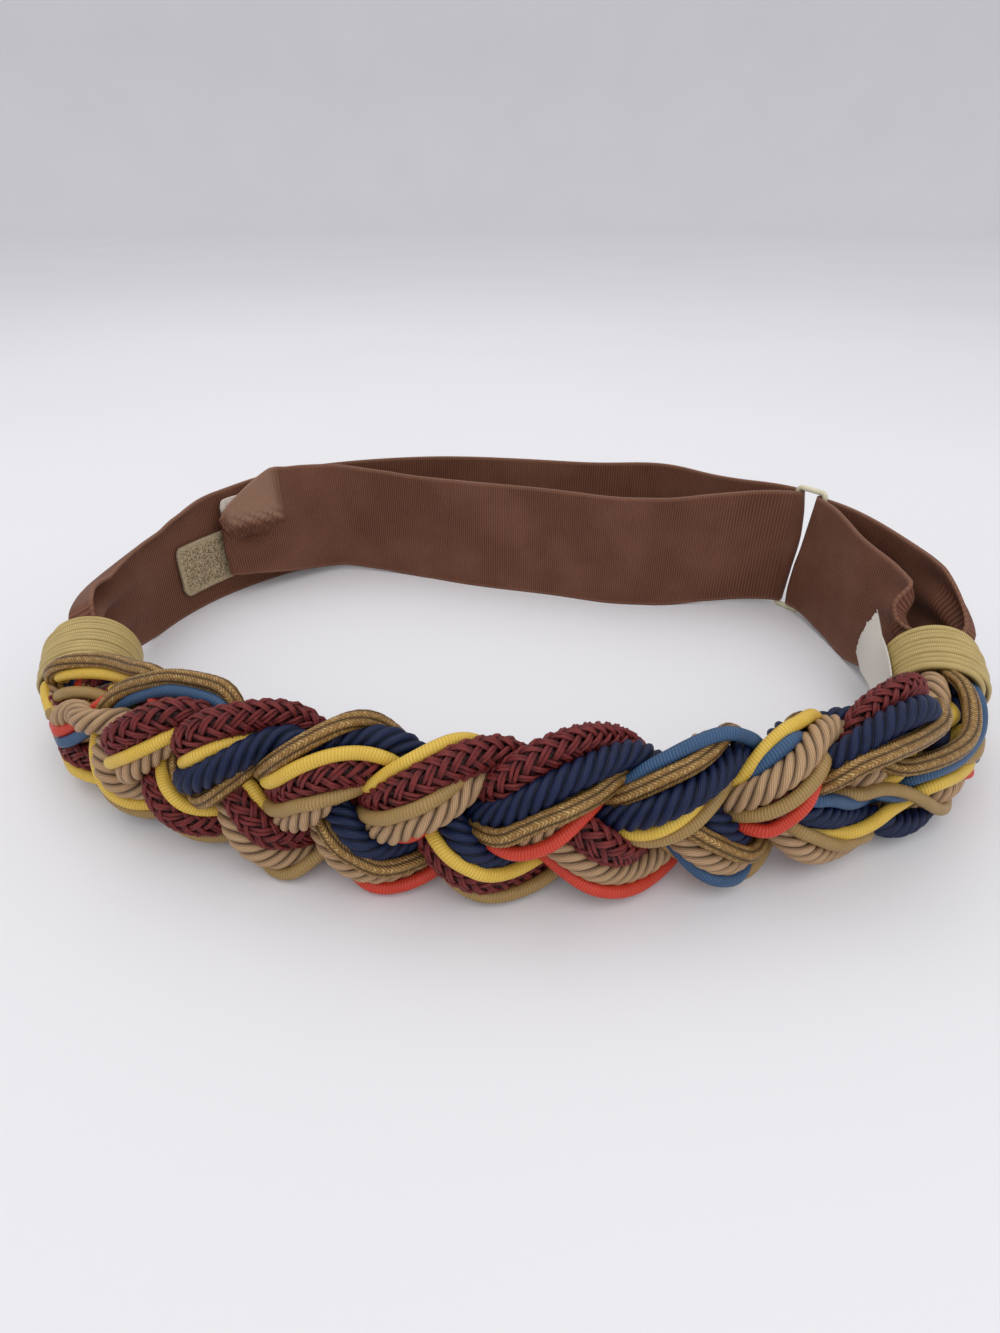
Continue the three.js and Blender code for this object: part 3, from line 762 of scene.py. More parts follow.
# Lets the cords settle side by side: a weak pull to where they want to lie, stiffness along each cord, and a
# push wherever two of them come closer than their thickness.
def settleCords(station, targets, held, shows, radii, strandOf):
    centres, _, _, middle, spread = strandCentres(station)
    fromEnd = np.minimum(station - braidStart, braidStart + braidLength - station)
    mouthOut = binding["gather"] - settle["mouthInset"]
    outward = mix(mouthOut, braid["thickness"] / 2 + settle["pastFace"], smooth(fromEnd / braid["outerRun"]))
    line, limits = settleLimits(station, centres, middle, shows, held, strandOf)
    apart = centres[strandOf][:, None] - centres[strandOf][None]
    apart = apart * np.array([settle["sideways"], 1.0])
    apart = settle["strandsApart"] * apart / np.maximum(np.linalg.norm(apart, axis=-1, keepdims=True), 1e-6)
    apart[strandOf[:, None] == strandOf[None]] = 0
    weight = (radii[None] ** 2 / (radii[:, None] ** 2 + radii[None] ** 2))[..., None, None]
    grown = radii[:, None] * mix(braid["gatheredCord"], 1, smooth(spread * 2))[None]
    same = np.arange(len(radii))
    place = targets.copy()
    rounds = settle["rounds"] // 1
    for turn in range(rounds):
        share = turn / rounds
        size = grown * min(1, settle["firstSize"] + settle["growth"] * share)
        need = size[:, None] + size[None]
        best, gap, shift = nearestGaps(place)
        inPlane = np.linalg.norm(gap, axis=-1)
        wanted = np.sqrt(np.maximum(need**2 - shift**2, 0))
        short = np.where(best < need**2, wanted - inPlane, 0)
        short[same, same] = 0
        way = gap / np.maximum(inPlane, 1e-6)[..., None] + apart
        way /= np.maximum(np.linalg.norm(way, axis=-1, keepdims=True), 1e-6)
        push = (np.maximum(short, 0)[..., None] * way * weight).sum(1)
        pull = mix(settle["firstPull"], settle["lastPull"], share) + settle["heldPull"] * held[..., None]
        give = settle["push"] - settle["heldPush"] * held[..., None]
        place = place + give * push + (targets - place) * pull
        bend = (place[:, 2:] + place[:, :-2]) / 2 - place[:, 1:-1]
        place[:, 1:-1] += settle["stiffness"] * bend
        highest = 2 * middle + settle["aboveTop"] - size
        place[..., 1] = np.clip(place[..., 1], size + settle["aboveFloor"], highest)
        place[..., 0] = np.clip(place[..., 0], size - outward, outward - size)
        fromMiddle = place - line
        for way, centre, limit, firmness in limits:
            past = np.maximum(((place - centre) * way).sum(-1) + size - limit, 0) * firmness
            place = place - past[..., None] * way
        far = np.linalg.norm(fromMiddle, axis=-1)
        kept = binding["gather"] + spread * settle["pastMouth"] + settle["heldPast"] * held - size
        kept = np.minimum(1, kept / np.maximum(far, 1e-6))
        place = place - fromMiddle * (1 - kept)[..., None]
    return place, grown


# A smooth line through points, resampled at an even step.
def evenLine(points, values, step):
    before = np.concatenate([2 * points[:1] - points[1:2], points[:-1]])
    after = np.concatenate([points[1:], 2 * points[-1:] - points[-2:-1]])
    slopes = ((after - before) / 2)[:, None]
    t = np.linspace(0, 1, 6, endpoint=False)[None, :, None]
    fine = cubic(points[:-1, None], points[1:, None], slopes[:-1], slopes[1:], t)
    fine = np.concatenate([fine.reshape(-1, 3), points[-1:]])
    fineValues = np.interp(np.arange(len(fine)) / 6, np.arange(len(points)), values)
    lengths = np.concatenate([[0], np.cumsum(np.linalg.norm(np.diff(fine, axis=0), axis=1))])
    count = max(int(lengths[-1] / step), 4)
    at = np.linspace(0, lengths[-1], count + 1)
    line = np.stack([np.interp(at, lengths, fine[:, k]) for k in range(3)], -1)
    return line, np.interp(at, lengths, fineValues), at


# Directions along a line, outwards from the belt, and square to both.
def lineWays(line, outward):
    along = np.gradient(line, axis=0)
    along /= np.linalg.norm(along, axis=1)[:, None]
    outward = outward - along * (outward * along).sum(1)[:, None]
    outward /= np.linalg.norm(outward, axis=1)[:, None]
    return along, outward, np.cross(along, outward)


# The belt's outward direction at points near its line.
def outwardAt(line):
    near = ((line[:, None, :2] - beltPoints[None, ::4]) ** 2).sum(-1).argmin(1) * 4
    return beltWays(beltLengths[near])[1]


def tubeRings(line, ways, angles, reach):
    _, outward, across = ways
    side = np.cos(angles)[..., None] * outward[:, None] + np.sin(angles)[..., None] * across[:, None]
    return line[:, None] + side * reach[..., None]


# A cord's surface along a line: its rings of points, and how near its crest each point is.
def ropeSurface(line, ways, at, radius):
    plies = ropeShape["plies"]
    inPly = np.array(ropeShape["acrossPly"]) * math.pi / plies
    starts = 2 * math.pi * np.arange(plies)[:, None] / plies
    angles = (starts + inPly).ravel()[None] - 2 * math.pi * at[:, None] / ropeShape["lay"]
    ply = ropeShape["plyShare"]
    bulge = np.sqrt(np.maximum(ply**2 - ((1 - ply) * np.sin(inPly)) ** 2, 0))
    reach = np.tile((1 - ply) * np.cos(inPly) + bulge, plies)[None] + 0 * angles
    crest = smooth((reach - reach.min()) / (reach.max() - reach.min()) * ropeShape["crestShare"])
    return tubeRings(line, ways, angles, reach * radius[:, None]), crest


def rattailSurface(line, ways, at, radius):
    angles = np.linspace(0, 2 * math.pi, rattailShape["around"], endpoint=False)[None] + at[:, None] * 0
    return tubeRings(line, ways, angles, angles * 0 + radius[:, None]), angles * 0 + 1


def braidedSurface(line, ways, at, radius):
    angles = np.linspace(0, 2 * math.pi, braidedShape["around"], endpoint=False)[None] + at[:, None] * 0
    shape = braidedShape
    groove = np.abs(np.sin(angles * shape["ridges"] / 2)) ** shape["grooveShape"]
    reach = 1 - shape["groove"] * (1 - groove)
    turn = at[:, None] * 2 * math.pi / shape["rippleEvery"] + shape["rippleTurns"] * angles
    ripple = shape["ripple"] * np.sin(turn)
    return tubeRings(line, ways, angles, (reach + ripple) * radius[:, None]), groove + 0 * angles


# One carrier's yarn of the openwork braid, over two others and under two. Its ends lie loosely side by side.
def yarnSurface(line, ways, at, radius, way, number, end, rng):
    shape = yarnShape
    count = shape["carriers"]
    angle = way * 2 * math.pi * at / shape["lay"] + 2 * math.pi * number / count
    beside = (end - (shape["ends"] - 1) / 2) * shape["beside"] * shape["yarn"] / shape["wide"]
    knots = rng.normal(0, shape["wander"], int(at[-1] / shape["wanderEvery"]) + 2)
    angle = angle + beside + np.interp(at, np.linspace(0, at[-1], len(knots)), knots)
    crossing = 2 * count * at / shape["lay"]
    phase = crossing + 2 * number if way > 0 else 2 * number - crossing
    lift = way * shape["swing"] * np.sin(math.pi / 2 * phase + math.pi / 4)
    size = radius / cordKinds["burgundy"]["radius"]
    wide = (shape["wide"] - shape["yarn"] + lift) * size
    deep = (shape["deep"] - shape["yarn"] + lift) * size
    _, outward, across = ways
    centre = line + (np.cos(angle) * deep)[:, None] * outward + (np.sin(angle) * wide)[:, None] * across
    yarnWays = lineWays(centre, centre - line)
    around = np.linspace(0, 2 * math.pi, shape["sides"], endpoint=False)[None] + at[:, None] * 0
    rings = tubeRings(centre, yarnWays, around, around * 0 + shape["yarn"])
    # The crest is low where the yarn passes under others, and the material paints shade there.
    return rings, np.clip((lift / shape["swing"] + 1) / 2, 0, 1)[:, None] + around * 0


def cordMesh(kind, path, radius):
    steps = {"burgundy": yarnShape["step"], "bronze": braidedShape["step"]}
    step = ropeShape["step"] if "rope" in cordKinds[kind] else steps.get(kind, rattailShape["step"])
    line, size, at = evenLine(path, radius, step)
    ways = lineWays(line, outwardAt(line))
    bm = newGridMesh()
    if kind == "burgundy":
        rng = np.random.default_rng(11)
        for yarn in itertools.product((1, -1), range(yarnShape["carriers"]), range(yarnShape["ends"])):
            addGrid(bm, *yarnSurface(line, ways, at, size, *yarn, rng), wrap=True)
        # A dark core fills the openwork. Its crest is zero, so it is all painted shade for the gaps between the
        # yarns.
        core, _ = rattailSurface(line, ways, at, size * yarnShape["core"])
        addGrid(bm, core, np.zeros(core.shape[:2]), wrap=True)
    else:
        round_ = braidedSurface if kind == "bronze" else rattailSurface
        surface = ropeSurface if "rope" in cordKinds[kind] else round_
        addGrid(bm, *surface(line, ways, at, size), wrap=True)
    return bm, at[-1]


def makeBraid():
    count = int((braidLength + 2 * endInside) / braid["spacing"])
    station = np.linspace(braidStart - endInside, braidStart + braidLength + endInside, count + 1)
    radii = np.array([cordKinds[kind]["radius"] for _ in strandNames for kind in kindNames])
    strandOf = np.repeat(np.arange(3), len(kindNames))
    targets, shows = cordTargets(station)
    targets, held = holdEnds(station, targets)
    places, sizes = settleCords(station, targets, held, shows, radii, strandOf)
    lengths = []
    for number, (place, size) in enumerate(zip(places, sizes)):
        strand = strandNames[strandOf[number]]
        kind = kindNames[number % len(kindNames)]
        path = onBelt(station, place[:, 0], place[:, 1])
        bm, length = cordMesh(kind, path, size)
        mapSize = (2 * math.pi * cordKinds[kind]["radius"], length)
        name = f"{kind}_cord_{strand}"
        addPiece(name, bm, cordMaterials[kind], [f"braid_strand_{strand}"], mapSize)
        lengths.append(f"{name} {length:.0f} mm")
    print("braid of", len(places), "cords:", ", ".join(lengths))


makeBraid()


# Bindings. A satin cord is wound round each end of the braid, one turn beside the next.
# Its dark colour is painted shade where the turns meet.
bindingMaterial = cordMaterial("wound satin cord", "#A8905A", "#C9B274", 0.5, 0.2, 0.4, 0.04, "#4E3C18")


def makeBinding(side, station):
    turns = binding["turns"][side]
    radius = min(binding["length"] / turns, binding["cord"]) / 2
    count = turns * binding["stepsPerTurn"]
    turn = np.linspace(0, turns, count + 1)
    angle = turn * 2 * math.pi
    along = (turn / turns - 0.5) * (binding["length"] - 2 * radius)
    toBraid = 1 if side == "left" else -1
    mouth = 0.5 + toBraid * along / binding["length"]
    tucked = smooth(1 - turn * binding["tuckRise"]) + smooth(1 - (turns - turn) * binding["tuckRise"])
    away = bindingRadius - radius + binding["wobble"] * np.sin(turn * binding["wobbleTurn"])
    away = away - binding["taper"] * mouth**2 - binding["tuck"] * tucked
    lean = toBraid * binding["lean"] * mouth * np.sin(angle)
    path = onBelt(station + along + lean, away * np.cos(angle), bindingHeight + away * np.sin(angle))
    middle = onBelt(station + along, 0, bindingHeight)
    line, size, at = evenLine(path, np.full(count + 1, radius * binding["overlap"]), binding["step"])
    centres = np.stack([np.interp(at, np.linspace(0, at[-1], count + 1), middle[:, k]) for k in range(3)], -1)
    ways = lineWays(line, line - centres)
    bm = newGridMesh()
    rings, _ = rattailSurface(line, ways, at, size)
    # Painted shade: the crest falls off where the cord's side turns from the binding's outside towards the next
    # turn.
    around = np.linspace(0, 2 * math.pi, rattailShape["around"], endpoint=False)[None]
    facing = np.cos(around) + at[:, None] * 0
    addGrid(bm, rings, smooth(facing * binding["faceWidth"]), wrap=True)
    mapSize = (2 * math.pi * radius, at[-1])
    addPiece(f"binding_cord_{side}", bm, bindingMaterial, [f"binding_{side}"], mapSize)
    print("binding", side, "of", turns, "turns,", round(at[-1]), "mm of cord")


makeBinding("left", leftBinding)
makeBinding("right", rightBinding)


# Straps. Grosgrain, gathered into the bindings and turned round the ring's bars.
strap = {
    "width": 45,
    "thickness": 1.4,
    "cloth": 1.2,
    "step": 1.5,
    "across": 61,
    "folds": 6,
    "gatheredHeight": 20,
    "leftGather": 52,
    "rightGather": 42,
    "rightTopGather": {"inner": 14, "outer": 17},
    "shoulder": 6.5,
    "shoulderSpan": (8, 5, 27, 13),
    "flap": 6,
    "flapSpan": (9, 5, 22, 6),
    "innerLean": 4.5,
    "innerLeanSpan": (60, 25),
    "outerDrop": 0.02,
    "innerDrop": 0.1,
    "innerDropSpan": (75, 45),
    "roll": {"from": 0.88, "in": 2.4, "down": 1.6, "span": (20, 15, 100, 25)},
    "wander": {"out": 0.5, "every": 17, "tilt": 2.2},
    "longPleat": 7,
    "shortPleat": 3.2,
    "layerOffset": 3.9,
    "shortBow": 8,
    "ringRun": 26,
    "liftRun": 45,
    "foldBack": 255,
    "bow": 35,
    "tipLift": 10.5,
    "bump": 9,
    "bumpAt": 58,
    "bumpRun": 20,
    "foldSteps": 12,
}
fleece = {"slot": "loop_patch", "thickness": 1.2, "width": 20, "bottom": 8}
hook = {"slot": "hook_patch", "thickness": 0.8, "width": 15, "bottom": 25.5}
patch = {
    "side": 46,
    "shown": 21,
    "back": 33,
    "hook": 20,
    "hookInset": 3,
    "corner": 3,
    "nap": 0.05,
    "step": 0.8,
}
foldRadius = ringWire["diameter"] / 2 + belt["seatGap"] + strap["thickness"] / 2
closedSeat = strap["thickness"] + fleece["thickness"] + hook["thickness"] + 3 * belt["seatGap"]

# The long strap from the ring back to its tip. At: share of that run. Gap: share of the bow. Lift: share of
# the tip's lift. Drop: how far the top edge comes down. Tuck: how far it is pressed to the strap behind it.
foldBack = {
    "at": [0, 0.08, 0.18, 0.28, 0.4, 0.52, 0.62, 0.72, 0.8, 0.887, 0.92, 0.955, 0.985, 1],
    "gap": [0, 0.42, 0.85, 1, 0.93, 0.84, 0.68, 0.38, 0.14, 0.18, 0.175, 0.135, 0.08, 0.04],
    "lift": [0, 0, 0, 0, 0, 0, 0, 0.1, 0.25, 0.5, 0.65, 0.81, 0.93, 1],
    "drop": [0, 0, 0, 0, 0, 0, 0, 0, 0, 0, 0.13, 0.28, 0.41, 0.48],
    "tuck": [0, 0, 0, 0, 0, 0, 0, 0, 0, 0, 0.5, 0.6, 0.65, 0.7],
}
shortBows = {"at": [0, 0.22, 0.5, 0.68, 0.79, 0.87, 1], "bow": [0, 0.65, 0.95, 0.88, 0.6, 0.1, 0]}

longStart = barStation["long"]
longEnd = beltTotal - binding["endSpace"]
tipStation = longStart + strap["foldBack"]
shortStart = barStation["short"]
shortEnd = rightBinding + binding["endSpace"]

# How far the left strap's top edge is drawn down, by its distance from the binding's middle.
leftTop = {
    "at": [8, 13, 40, 56, 67, 76, 90, 103, 125, 145],
    "gather": [0.95, 0.52, 0.47, 0.4, 0.34, 0.2, 0.14, 0.11, 0.03, 0],
}

# How far each strap's fold stands off its bar, from the bottom edge to the top one.
foldLoose = {
    "long": curveThrough([0, 0.3, 0.6, 0.8, 1], [0, 1.1, 2.2, 1.5, -0.3]),
    "short": curveThrough([0, 0.12, 0.35, 0.5, 0.75, 1], [3.8, 4.2, 3.6, 2.6, 1.4, 0.3]),
}


def grosgrainMaterial():
    material, tree, shader = newMaterial("woven grosgrain ribbon", 0.7, sheen=0.04)
    ribs = threadBands(tree, 0.95, 0, 0.5, 2)
    fine = threadBands(tree, 0.9, math.pi / 2, 0.2, 1)
    worn = mapRange(tree, colourNoise(tree, 22, 4), 0.4, 0.72, most=0.4)
    body = mixColours(tree, worn, mixColours(tree, ribs, "#4E2D1E", "#794B37"), "#8A5F4B")
    fromEdge = maths(tree, "PINGPONG", mapAxes(tree)["X"], strap["width"] / 2 * mm)
    body = mixColours(tree, mapRange(tree, fromEdge, 1.3 * mm, 0.9 * mm, most=0.4), body, "#8F6650")
    # Painted light: where the crest is low, on the tip's bent corner, the ribbon is painted a lighter brown.
    body = mixColours(tree, crestOf(tree), "#A07C66", body)
    paint(tree, shader, body, maths(tree, "MULTIPLY_ADD", fine, 0.25, ribs), 0.6, 0.18)
    return material


strapMaterial = grosgrainMaterial()
acrossStrap = np.linspace(0, 1, strap["across"])[None]
pleatShape = -np.cos(strap["folds"] * math.pi * acrossStrap)


def ringLift(distance):
    return (ringWire["diameter"] + ringWire["endGap"]) * (1 - smooth(distance / strap["liftRun"]))


# Rows of points across a strap, from its bottom edge to its top one.
def strapRows(station, out, lift, gather, topGather, pleat, drop=0.0, lean=0.0, roll=0.0):
    values = (out, lift, gather, topGather, pleat, drop, lean, roll)
    columns = [np.asarray(value, float) + 0 * station for value in values]
    out, lift, gather, topGather, pleat, drop, lean, roll = [column[:, None] for column in columns]
    bottom = mix(lift, bindingHeight - strap["gatheredHeight"] / 2, gather)
    top = mix(lift + strap["width"] * (1 - drop), bindingHeight + strap["gatheredHeight"] / 2, topGather)
    wander, rolling = strap["wander"], strap["roll"]
    waves = np.sin(station[:, None] / wander["every"] + wander["tilt"] * acrossStrap)
    rolled = roll * smooth((acrossStrap - rolling["from"]) / (1 - rolling["from"]))
    out = out + pleat / 2 * gather * pleatShape - lean * acrossStrap**2
    out = out + wander["out"] * (1 - gather) * waves - rolling["in"] * rolled
    height = mix(bottom, top, acrossStrap) - rolling["down"] * rolled**2
    return onBelt(station[:, None] + 0 * acrossStrap, out, height)


# Rows round a ring's bar. Way is 1 where the fold points along the belt line, and -1 where it points back.
def foldRows(station, way, loose):
    turn = np.linspace(0, math.pi, strap["foldSteps"] + 2)[1:-1, None, None]
    along, outward = beltWays(np.array(station))
    reach = way * (foldRadius + loose(acrossStrap[0]))[None, :, None]
    height = (ringLift(0.0) + strap["width"] * acrossStrap[0])[None, :, None]
    flat = onBelt(station, 0, 0) + foldRadius * np.cos(turn) * outward + reach * np.sin(turn) * along
    return flat + height * np.array([0, 0, 1.0])


# The tip's top corner is bent back along a crease. Its ribs bunch below the bend, over a dent. Distances are
# from the tip, and heights are from the table.
tip = {
    "fold": 28,
    "foldRun": 2,
    "endRun": 6,
    "band": 29,
    "bandRun": 3,
    "bent": 2,
    # Shade: how much lighter the bent part is painted, as painted light.
    "shade": 0.75,
    "proud": {"out": 1.4, "beyond": 3, "wide": 5, "run": 12},
    "bunch": {"out": 1.3, "above": 1, "tall": 4, "rise": 0.8, "slant": 0.5, "every": 3},
    "dent": {"in": 4.2, "at": 13, "wide": 7, "below": 6.5, "tall": 3},
}


def bell(x):
    return np.exp(-(x**2))


def tipRelief(fromTip, height):
    fromBand = height - tip["band"]
    beyond = smooth((tip["fold"] - fromTip) / tip["foldRun"])
    bent = beyond * smooth(fromBand / tip["bandRun"]) * smooth(fromTip / tip["endRun"])
    part = tip["proud"]
    proud = bell((fromTip - tip["fold"] - part["beyond"]) / part["wide"]) * smooth(fromBand / part["run"])
    relief = tip["bent"] * bent - part["out"] * proud
    part = tip["bunch"]
    ribs = np.sin(2 * math.pi * (part["rise"] * height + part["slant"] * fromTip) / part["every"])
    relief = relief - part["out"] * beyond * bell((fromBand - part["above"]) / part["tall"]) * (1 + ribs)
    part = tip["dent"]
    dent = bell((fromTip - part["at"]) / part["wide"]) * bell((fromBand + part["below"]) / part["tall"])
    # The second value is the crest: it is low on the bent part, which the ribbon's material paints lighter, as
    # painted light.
    return relief + part["in"] * dent, 1 - tip["shade"] * bent


def longOutside(station):
    onRing = 1 - smooth((station - longStart) / strap["ringRun"])
    fromBump = (station - longStart - strap["bumpAt"]) / strap["bumpRun"]
    return foldRadius * onRing + strap["bump"] * bell(fromBump)


def addSheet(name, points, material, node, size, thickness, crest=None):
    bm = newGridMesh()
    addGrid(bm, points, crest)
    piece = addPiece(name, bm, material, [node], size)
    wall = piece.modifiers.new("cloth wall", "SOLIDIFY")
    wall.thickness = thickness * mm
    wall.offset = 0


def addStrap(name, node, points, crest=None):
    size = (strap["width"], lengthAlong(points))
    addSheet(
        name, points, strapMaterial, node, size, strap["cloth"], crest
    )
    print(name, round(size[1]), "mm")


def lengthAlong(points):
    middle = points[:, points.shape[1] // 2]
    return float(np.linalg.norm(np.diff(middle, axis=0), axis=1).sum())


def makeLongStrap():
    outer = np.arange(longEnd, longStart, -strap["step"])
    outer = np.append(outer, longStart)
    gather = 1 - smooth((longEnd - endInside - outer) / strap["leftGather"])
    fromMiddle = beltTotal - outer
    outerRows = strapRows(
        outer,
        longOutside(outer),
        ringLift(outer - longStart),
        gather,
        through(leftTop, "gather")(fromMiddle),
        strap["longPleat"],
        roll=hump(fromMiddle, strap["roll"]["span"]),
    )
    inner = np.linspace(longStart, tipStation, int(strap["foldBack"] / strap["step"]) + 1)
    share = (inner - longStart) / strap["foldBack"]
    gap = strap["bow"] * through(foldBack, "gap")(share)
    aside = mix(closedSeat, foldRadius, 1 - smooth((inner - longStart) / strap["ringRun"]))
    lift = ringLift(inner - longStart) + strap["tipLift"] * through(foldBack, "lift")(share)
    lean = -gap * through(foldBack, "tuck")(share)
    drop = through(foldBack, "drop")(share)
    innerRows = strapRows(inner, -(aside + gap), lift, 0, 0, 0, drop, lean)
    relief, crest = tipRelief((tipStation - inner)[:, None], innerRows[..., 2])
    innerRows = innerRows + relief[..., None] * beltWays(inner)[1][:, None]
    points = np.concatenate([outerRows, foldRows(longStart, -1, foldLoose["long"]), innerRows])
    crest = np.concatenate([np.ones((len(points) - len(crest), crest.shape[1])), crest])
    addStrap("grosgrain_strap_long", "strap_long", points, crest)


def makeShortStrap():
    station = np.append(np.arange(shortEnd, shortStart, strap["step"]), shortStart)
    share = (shortStart - station) / (shortStart - shortEnd)
    fromMiddle = station - rightBinding
    gather = 1 - smooth((fromMiddle - endInside) / strap["rightGather"])
    topGathers = {
        layer: 1 - smooth((fromMiddle - endInside) / run) for layer, run in strap["rightTopGather"].items()
    }
    aside = mix(foldRadius, strap["layerOffset"], share)
    lift = ringLift(shortStart - station)
    shoulder = strap["shoulder"] * hump(fromMiddle, strap["shoulderSpan"])
    bow = through(shortBows, "bow")(share)
    leanEnd, leanRun = strap["innerLeanSpan"]
    lean = strap["flap"] * hump(fromMiddle, strap["flapSpan"])
    lean = lean - strap["innerLean"] * bow * smooth((leanEnd - fromMiddle) / leanRun)
    dropEnd, dropRun = strap["innerDropSpan"]
    drop = strap["innerDrop"] * smooth((dropEnd - fromMiddle) / dropRun)
    pleat = strap["shortPleat"]
    inside = -aside - strap["shortBow"] * bow
    outer = strapRows(station, aside + shoulder, lift, gather, topGathers["outer"], pleat, strap["outerDrop"])
    inner = strapRows(station, inside, lift, gather, topGathers["inner"], pleat, drop, lean)
    points = np.concatenate([outer, foldRows(shortStart, 1, foldLoose["short"]), inner[::-1]])
    addStrap("grosgrain_strap_short", "strap_short", points)


# Ring. Ivory coated wire, bent to a tall rectangle.
def makeRing():
    material, tree, shader = newMaterial("ivory coated wire", 0.25, ior=1.5)
    tint = mixColours(tree, colourNoise(tree, 4), "#C9BF98", "#E6E0C4")
    tree.links.new(tint, shader.inputs["Base Color"])
    shader.inputs["Coat Weight"].default_value = 0.5
    shortBar = onBelt(barStation["short"], 0, 0)
    longBar = onBelt(barStation["long"], 0, 0)
    across = (longBar - shortBar) / np.linalg.norm(longBar - shortBar)
    middle = (shortBar + longBar) / 2
    halfWide = np.linalg.norm(longBar - shortBar) / 2 - ringWire["corner"]
    halfTall = (strap["width"] + 2 * ringWire["endGap"] + ringWire["diameter"]) / 2 - ringWire["corner"]
    up = np.array([0, 0, 1.0])
    flat = np.cross(up, across)
    rings = []
    for quarter, (x, z) in enumerate([(1, 1), (-1, 1), (-1, -1), (1, -1)]):
        for i in range(ringWire["cornerSteps"]):
            angle = (quarter + i / (ringWire["cornerSteps"] - 1)) * math.pi / 2
            outward = math.cos(angle) * across + math.sin(angle) * up
            centre = middle + x * halfWide * across + up * ((z + 1) * halfTall + ringWire["corner"] + 1)
            centre = centre + ringWire["corner"] * outward
            around = np.linspace(0, 2 * math.pi, ringWire["sides"], endpoint=False)[:, None]
            side = np.cos(around) * outward + np.sin(around) * flat
            rings.append(centre + side * ringWire["diameter"] / 2)
    rings = np.array([*rings, rings[0]])[:, ::-1]
    bm = newGridMesh()
    grid = addGrid(bm, rings, wrap=True)
    bmesh.ops.remove_doubles(bm, verts=[vert for vert in bm.verts], dist=1e-6)
    bmesh.ops.recalc_face_normals(bm, faces=bm.faces[:])
    addPiece("ring_wire", bm, material, ["ring"])
    print("ring", len(grid), "points")


makeRing()
makeLongStrap()
makeShortStrap()


# Fleece and hook patches, sewn to the straps.
def patchMaterial(name, dark, light, size, wide, long):
    material, tree, shader = newMaterial(name, 0.9, sheen=0.1)
    nap = colourNoise(tree, size, 2)
    speckle = mixColours(tree, mapRange(tree, nap, 0.42, 0.58), dark, light)
    axes = mapAxes(tree)
    edges = [maths(tree, "PINGPONG", axes[axis], side / 2 * mm) for axis, side in (("X", wide), ("Y", long))]
    border = mapRange(tree, maths(tree, "MINIMUM", *edges), 2.2 * mm, 1.4 * mm, most=0.55)
    paint(tree, shader, mixColours(tree, border, speckle, light), nap, 0.8, 0.4)
    return material


def makePatch(name, node, tape, material, middle, length, offset):
    along = np.linspace(0, 1, int(length / patch["step"]))[:, None]
    across = np.linspace(-1, 1, 27)[None]
    fromEnd = np.minimum(along, 1 - along) * length
    round_ = np.clip(patch["corner"] - fromEnd, 0, None) / patch["corner"]
    half = tape["width"] / 2 - patch["corner"] * (1 - np.sqrt(1 - round_**2))
    rng = np.random.default_rng(7)
    station = middle - length / 2 + along * length + across * 0
    out = longOutside(station) - offset + rng.normal(0, patch["nap"], station.shape)
    points = onBelt(station, out, tape["bottom"] + tape["width"] / 2 + half * across)
    size = (tape["width"], length)
    addSheet(
        name, points, material, node, size, tape["thickness"]
    )


fleeceOffset = (strap["thickness"] + fleece["thickness"]) / 2 + belt["seatGap"]
hookOffset = fleeceOffset + (fleece["thickness"] + hook["thickness"]) / 2 + belt["seatGap"]
backMiddle = longStart + strap["bumpAt"]
sideMiddle = tipStation + patch["shown"] - patch["side"] / 2
hookMiddle = tipStation - patch["hookInset"] - patch["hook"] / 2
looped = ("#75634A", "#B5A384", 0.7, fleece["width"])
sideFleece = patchMaterial("brushed nylon loop fleece", *looped, patch["side"])
backFleece = patchMaterial("brushed nylon loop fleece back", *looped, patch["back"])
hooks = patchMaterial("moulded nylon hooks", "#A89A8A", "#DAD0C4", 0.6, hook["width"], patch["hook"])
makePatch("fleece_patch_side", "loop_patch_side", fleece, sideFleece, sideMiddle, patch["side"], fleeceOffset)
makePatch("fleece_patch_back", "loop_patch_back", fleece, backFleece, backMiddle, patch["back"], fleeceOffset)
makePatch("hook_tape", "hook_patch", hook, hooks, hookMiddle, patch["hook"], hookOffset)
print("patches sewn on")


# Label. A blank woven tab with a crease across it and a frayed cut end, sewn to the inside of the right
# binding. Rows: share of its length, then station from the binding's middle, out and height of its two edges.
label = {
    "thickness": 0.5,
    "fray": 0.35,
    "curl": 1.2,
    "steps": (61, 31),
    "rows": [
        {"at": 0, "sewn": (22, -14.8, 29.8), "free": (20, -18, 15)},
        {"at": 0.32, "sewn": (13, -14.2, 25), "free": (10, -18, 12.8)},
        {"at": 1, "sewn": (-11, -13.6, 23.2), "free": (-6, -15.6, 12.6)},
    ],
}


def makeLabel():
    material, tree, shader = newMaterial("woven polyester label tape", 0.75, sheen=0.1)
    weave = threadBands(tree, 0.6, 0, 0.3, 1)
    paint(tree, shader, mixColours(tree, weave, "#B5ADA3", "#E2DCD4"), weave, 0.5, 0.1)
    at = np.linspace(0, 1, label["steps"][0])
    across = np.linspace(0, 1, label["steps"][1])[None]
    rng = np.random.default_rng(3)
    rowAt = [row["at"] for row in label["rows"]]
    places = []
    for k in range(3):
        edges = [np.interp(at, rowAt, [row[edge][k] for row in label["rows"]]) for edge in ("sewn", "free")]
        places.append(mix(edges[0][:, None], edges[1][:, None], across))
    station, out, height = places
    station = station + rng.normal(0, label["fray"], across.shape) * (at == 0)[:, None]
    curl = label["curl"] * np.sin(math.pi * across) * np.cos(math.pi * at)[:, None]
    points = onBelt(rightBinding + station, out - curl, height)
    middleRow = points[len(points) // 2]
    width = float(np.linalg.norm(np.diff(middleRow, axis=0), axis=1).sum())
    size = (width, lengthAlong(points))
    addSheet(
        "label_tab", points, material, "label", size,
        label["thickness"],
    )
    print("label sewn on,", round(width), "by", round(size[1]), "mm")


makeLabel()


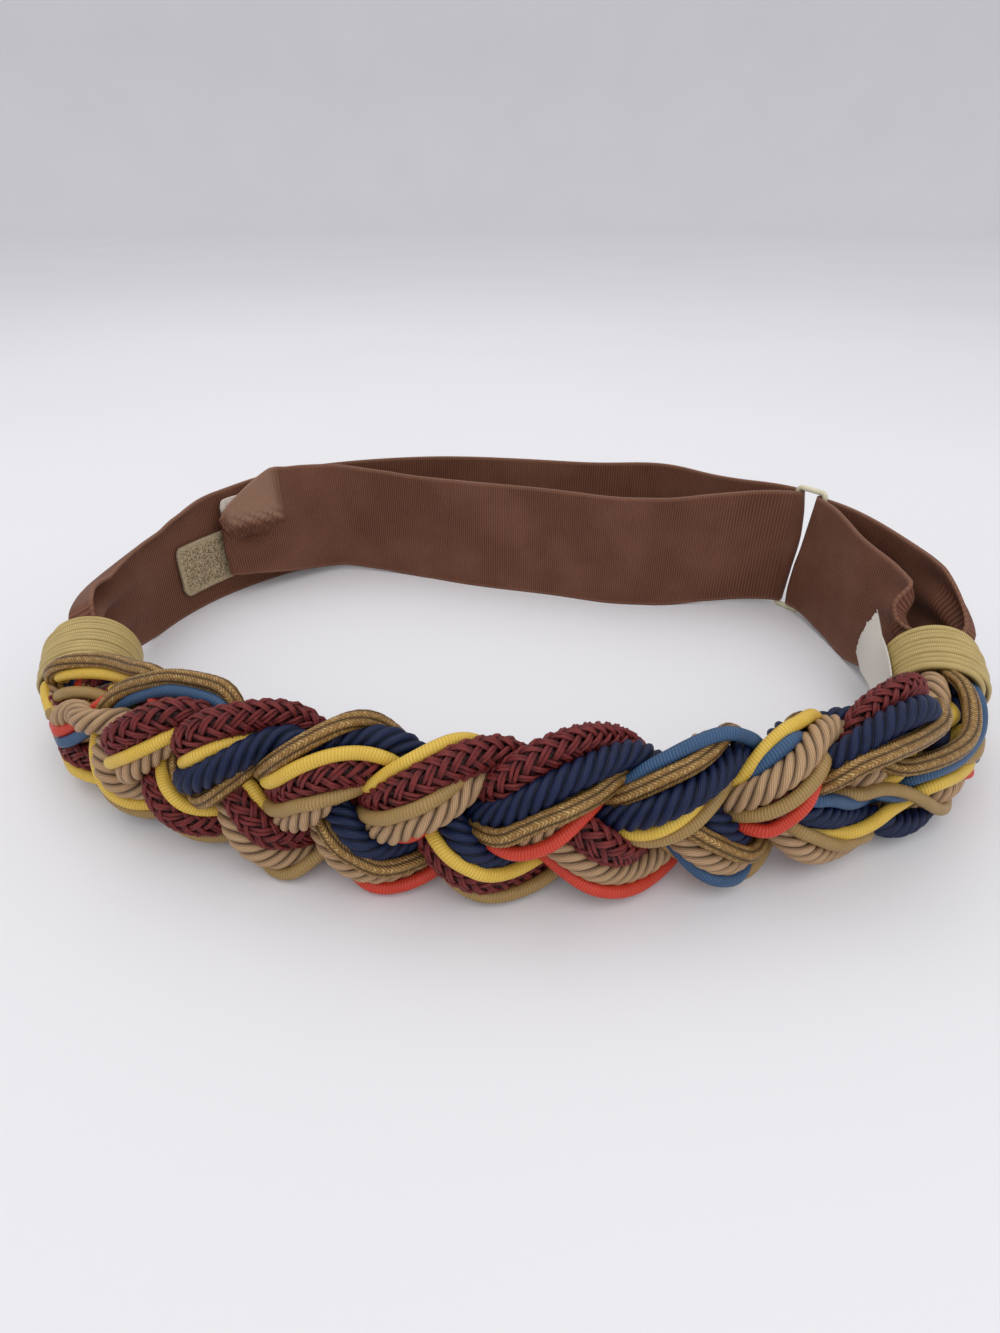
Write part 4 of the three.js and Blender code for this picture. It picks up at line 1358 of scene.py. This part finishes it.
# Floor and light of a plain studio, pale and soft. These sizes are in metres.
studio = {
    "flat": 4.0,
    "bend": 0.8,
    "wall": 1.4,
    "sky": 0.82,
    "lights": [
        ("soft_light_back", (-0.25, 0.35, 1.1), 0.9, 2.7),
        ("soft_light_front", (0.3, -0.7, 0.9), 1.4, 4.4),
    ],
}


def makeStudio():
    material, tree, shader = newMaterial("matt paper backdrop", 0.9)
    grain = mixColours(tree, colourNoise(tree, 300, 2), "#E6E5E8", "#ECEBEE")
    tree.links.new(grain, shader.inputs["Base Color"])
    bm = newGridMesh()
    turn = np.linspace(0, math.pi / 2, 9)
    arc = [(studio["flat"] + studio["bend"] * math.sin(a), studio["bend"] * (1 - math.cos(a))) for a in turn]
    profile = [(0, 0), *arc, (studio["flat"] + studio["bend"], studio["wall"])]
    points = [bm.verts.new((x, 0, z)) for x, z in profile]
    edges = [bm.edges.new(pair) for pair in zip(points, points[1:])]
    bmesh.ops.spin(
        bm, geom=points + edges, axis=(0, 0, 1), cent=(0, 0, 0), angle=2 * math.pi, steps=64, use_merge=True
    )
    bmesh.ops.remove_doubles(bm, verts=bm.verts[:], dist=1e-5)
    bmesh.ops.recalc_face_normals(bm, faces=bm.faces[:])
    mesh = bpy.data.meshes.new("floor")
    bm.to_mesh(mesh)
    bm.free()
    mesh.shade_smooth()
    mesh.materials.append(material)
    floor = bpy.data.objects.new("floor", mesh)
    bpy.context.scene.collection.objects.link(floor)
    world = bpy.data.worlds.new("studio")
    world.use_nodes = True
    sky = world.node_tree.nodes["Background"].inputs
    sky["Color"].default_value = colour("#F3F4F6")
    sky["Strength"].default_value = studio["sky"]
    bpy.context.scene.world = world
    for name, place, size, power in studio["lights"]:
        light = bpy.data.lights.new(name, "AREA")
        light.size = size
        light.energy = power
        holder = bpy.data.objects.new(name, light)
        holder.location = place
        holder.rotation_euler = (-Vector(place)).to_track_quat("-Z", "Y").to_euler()
        bpy.context.scene.collection.objects.link(holder)


makeStudio()
bpy.context.scene.view_settings.view_transform = "Standard"
print("studio ready")
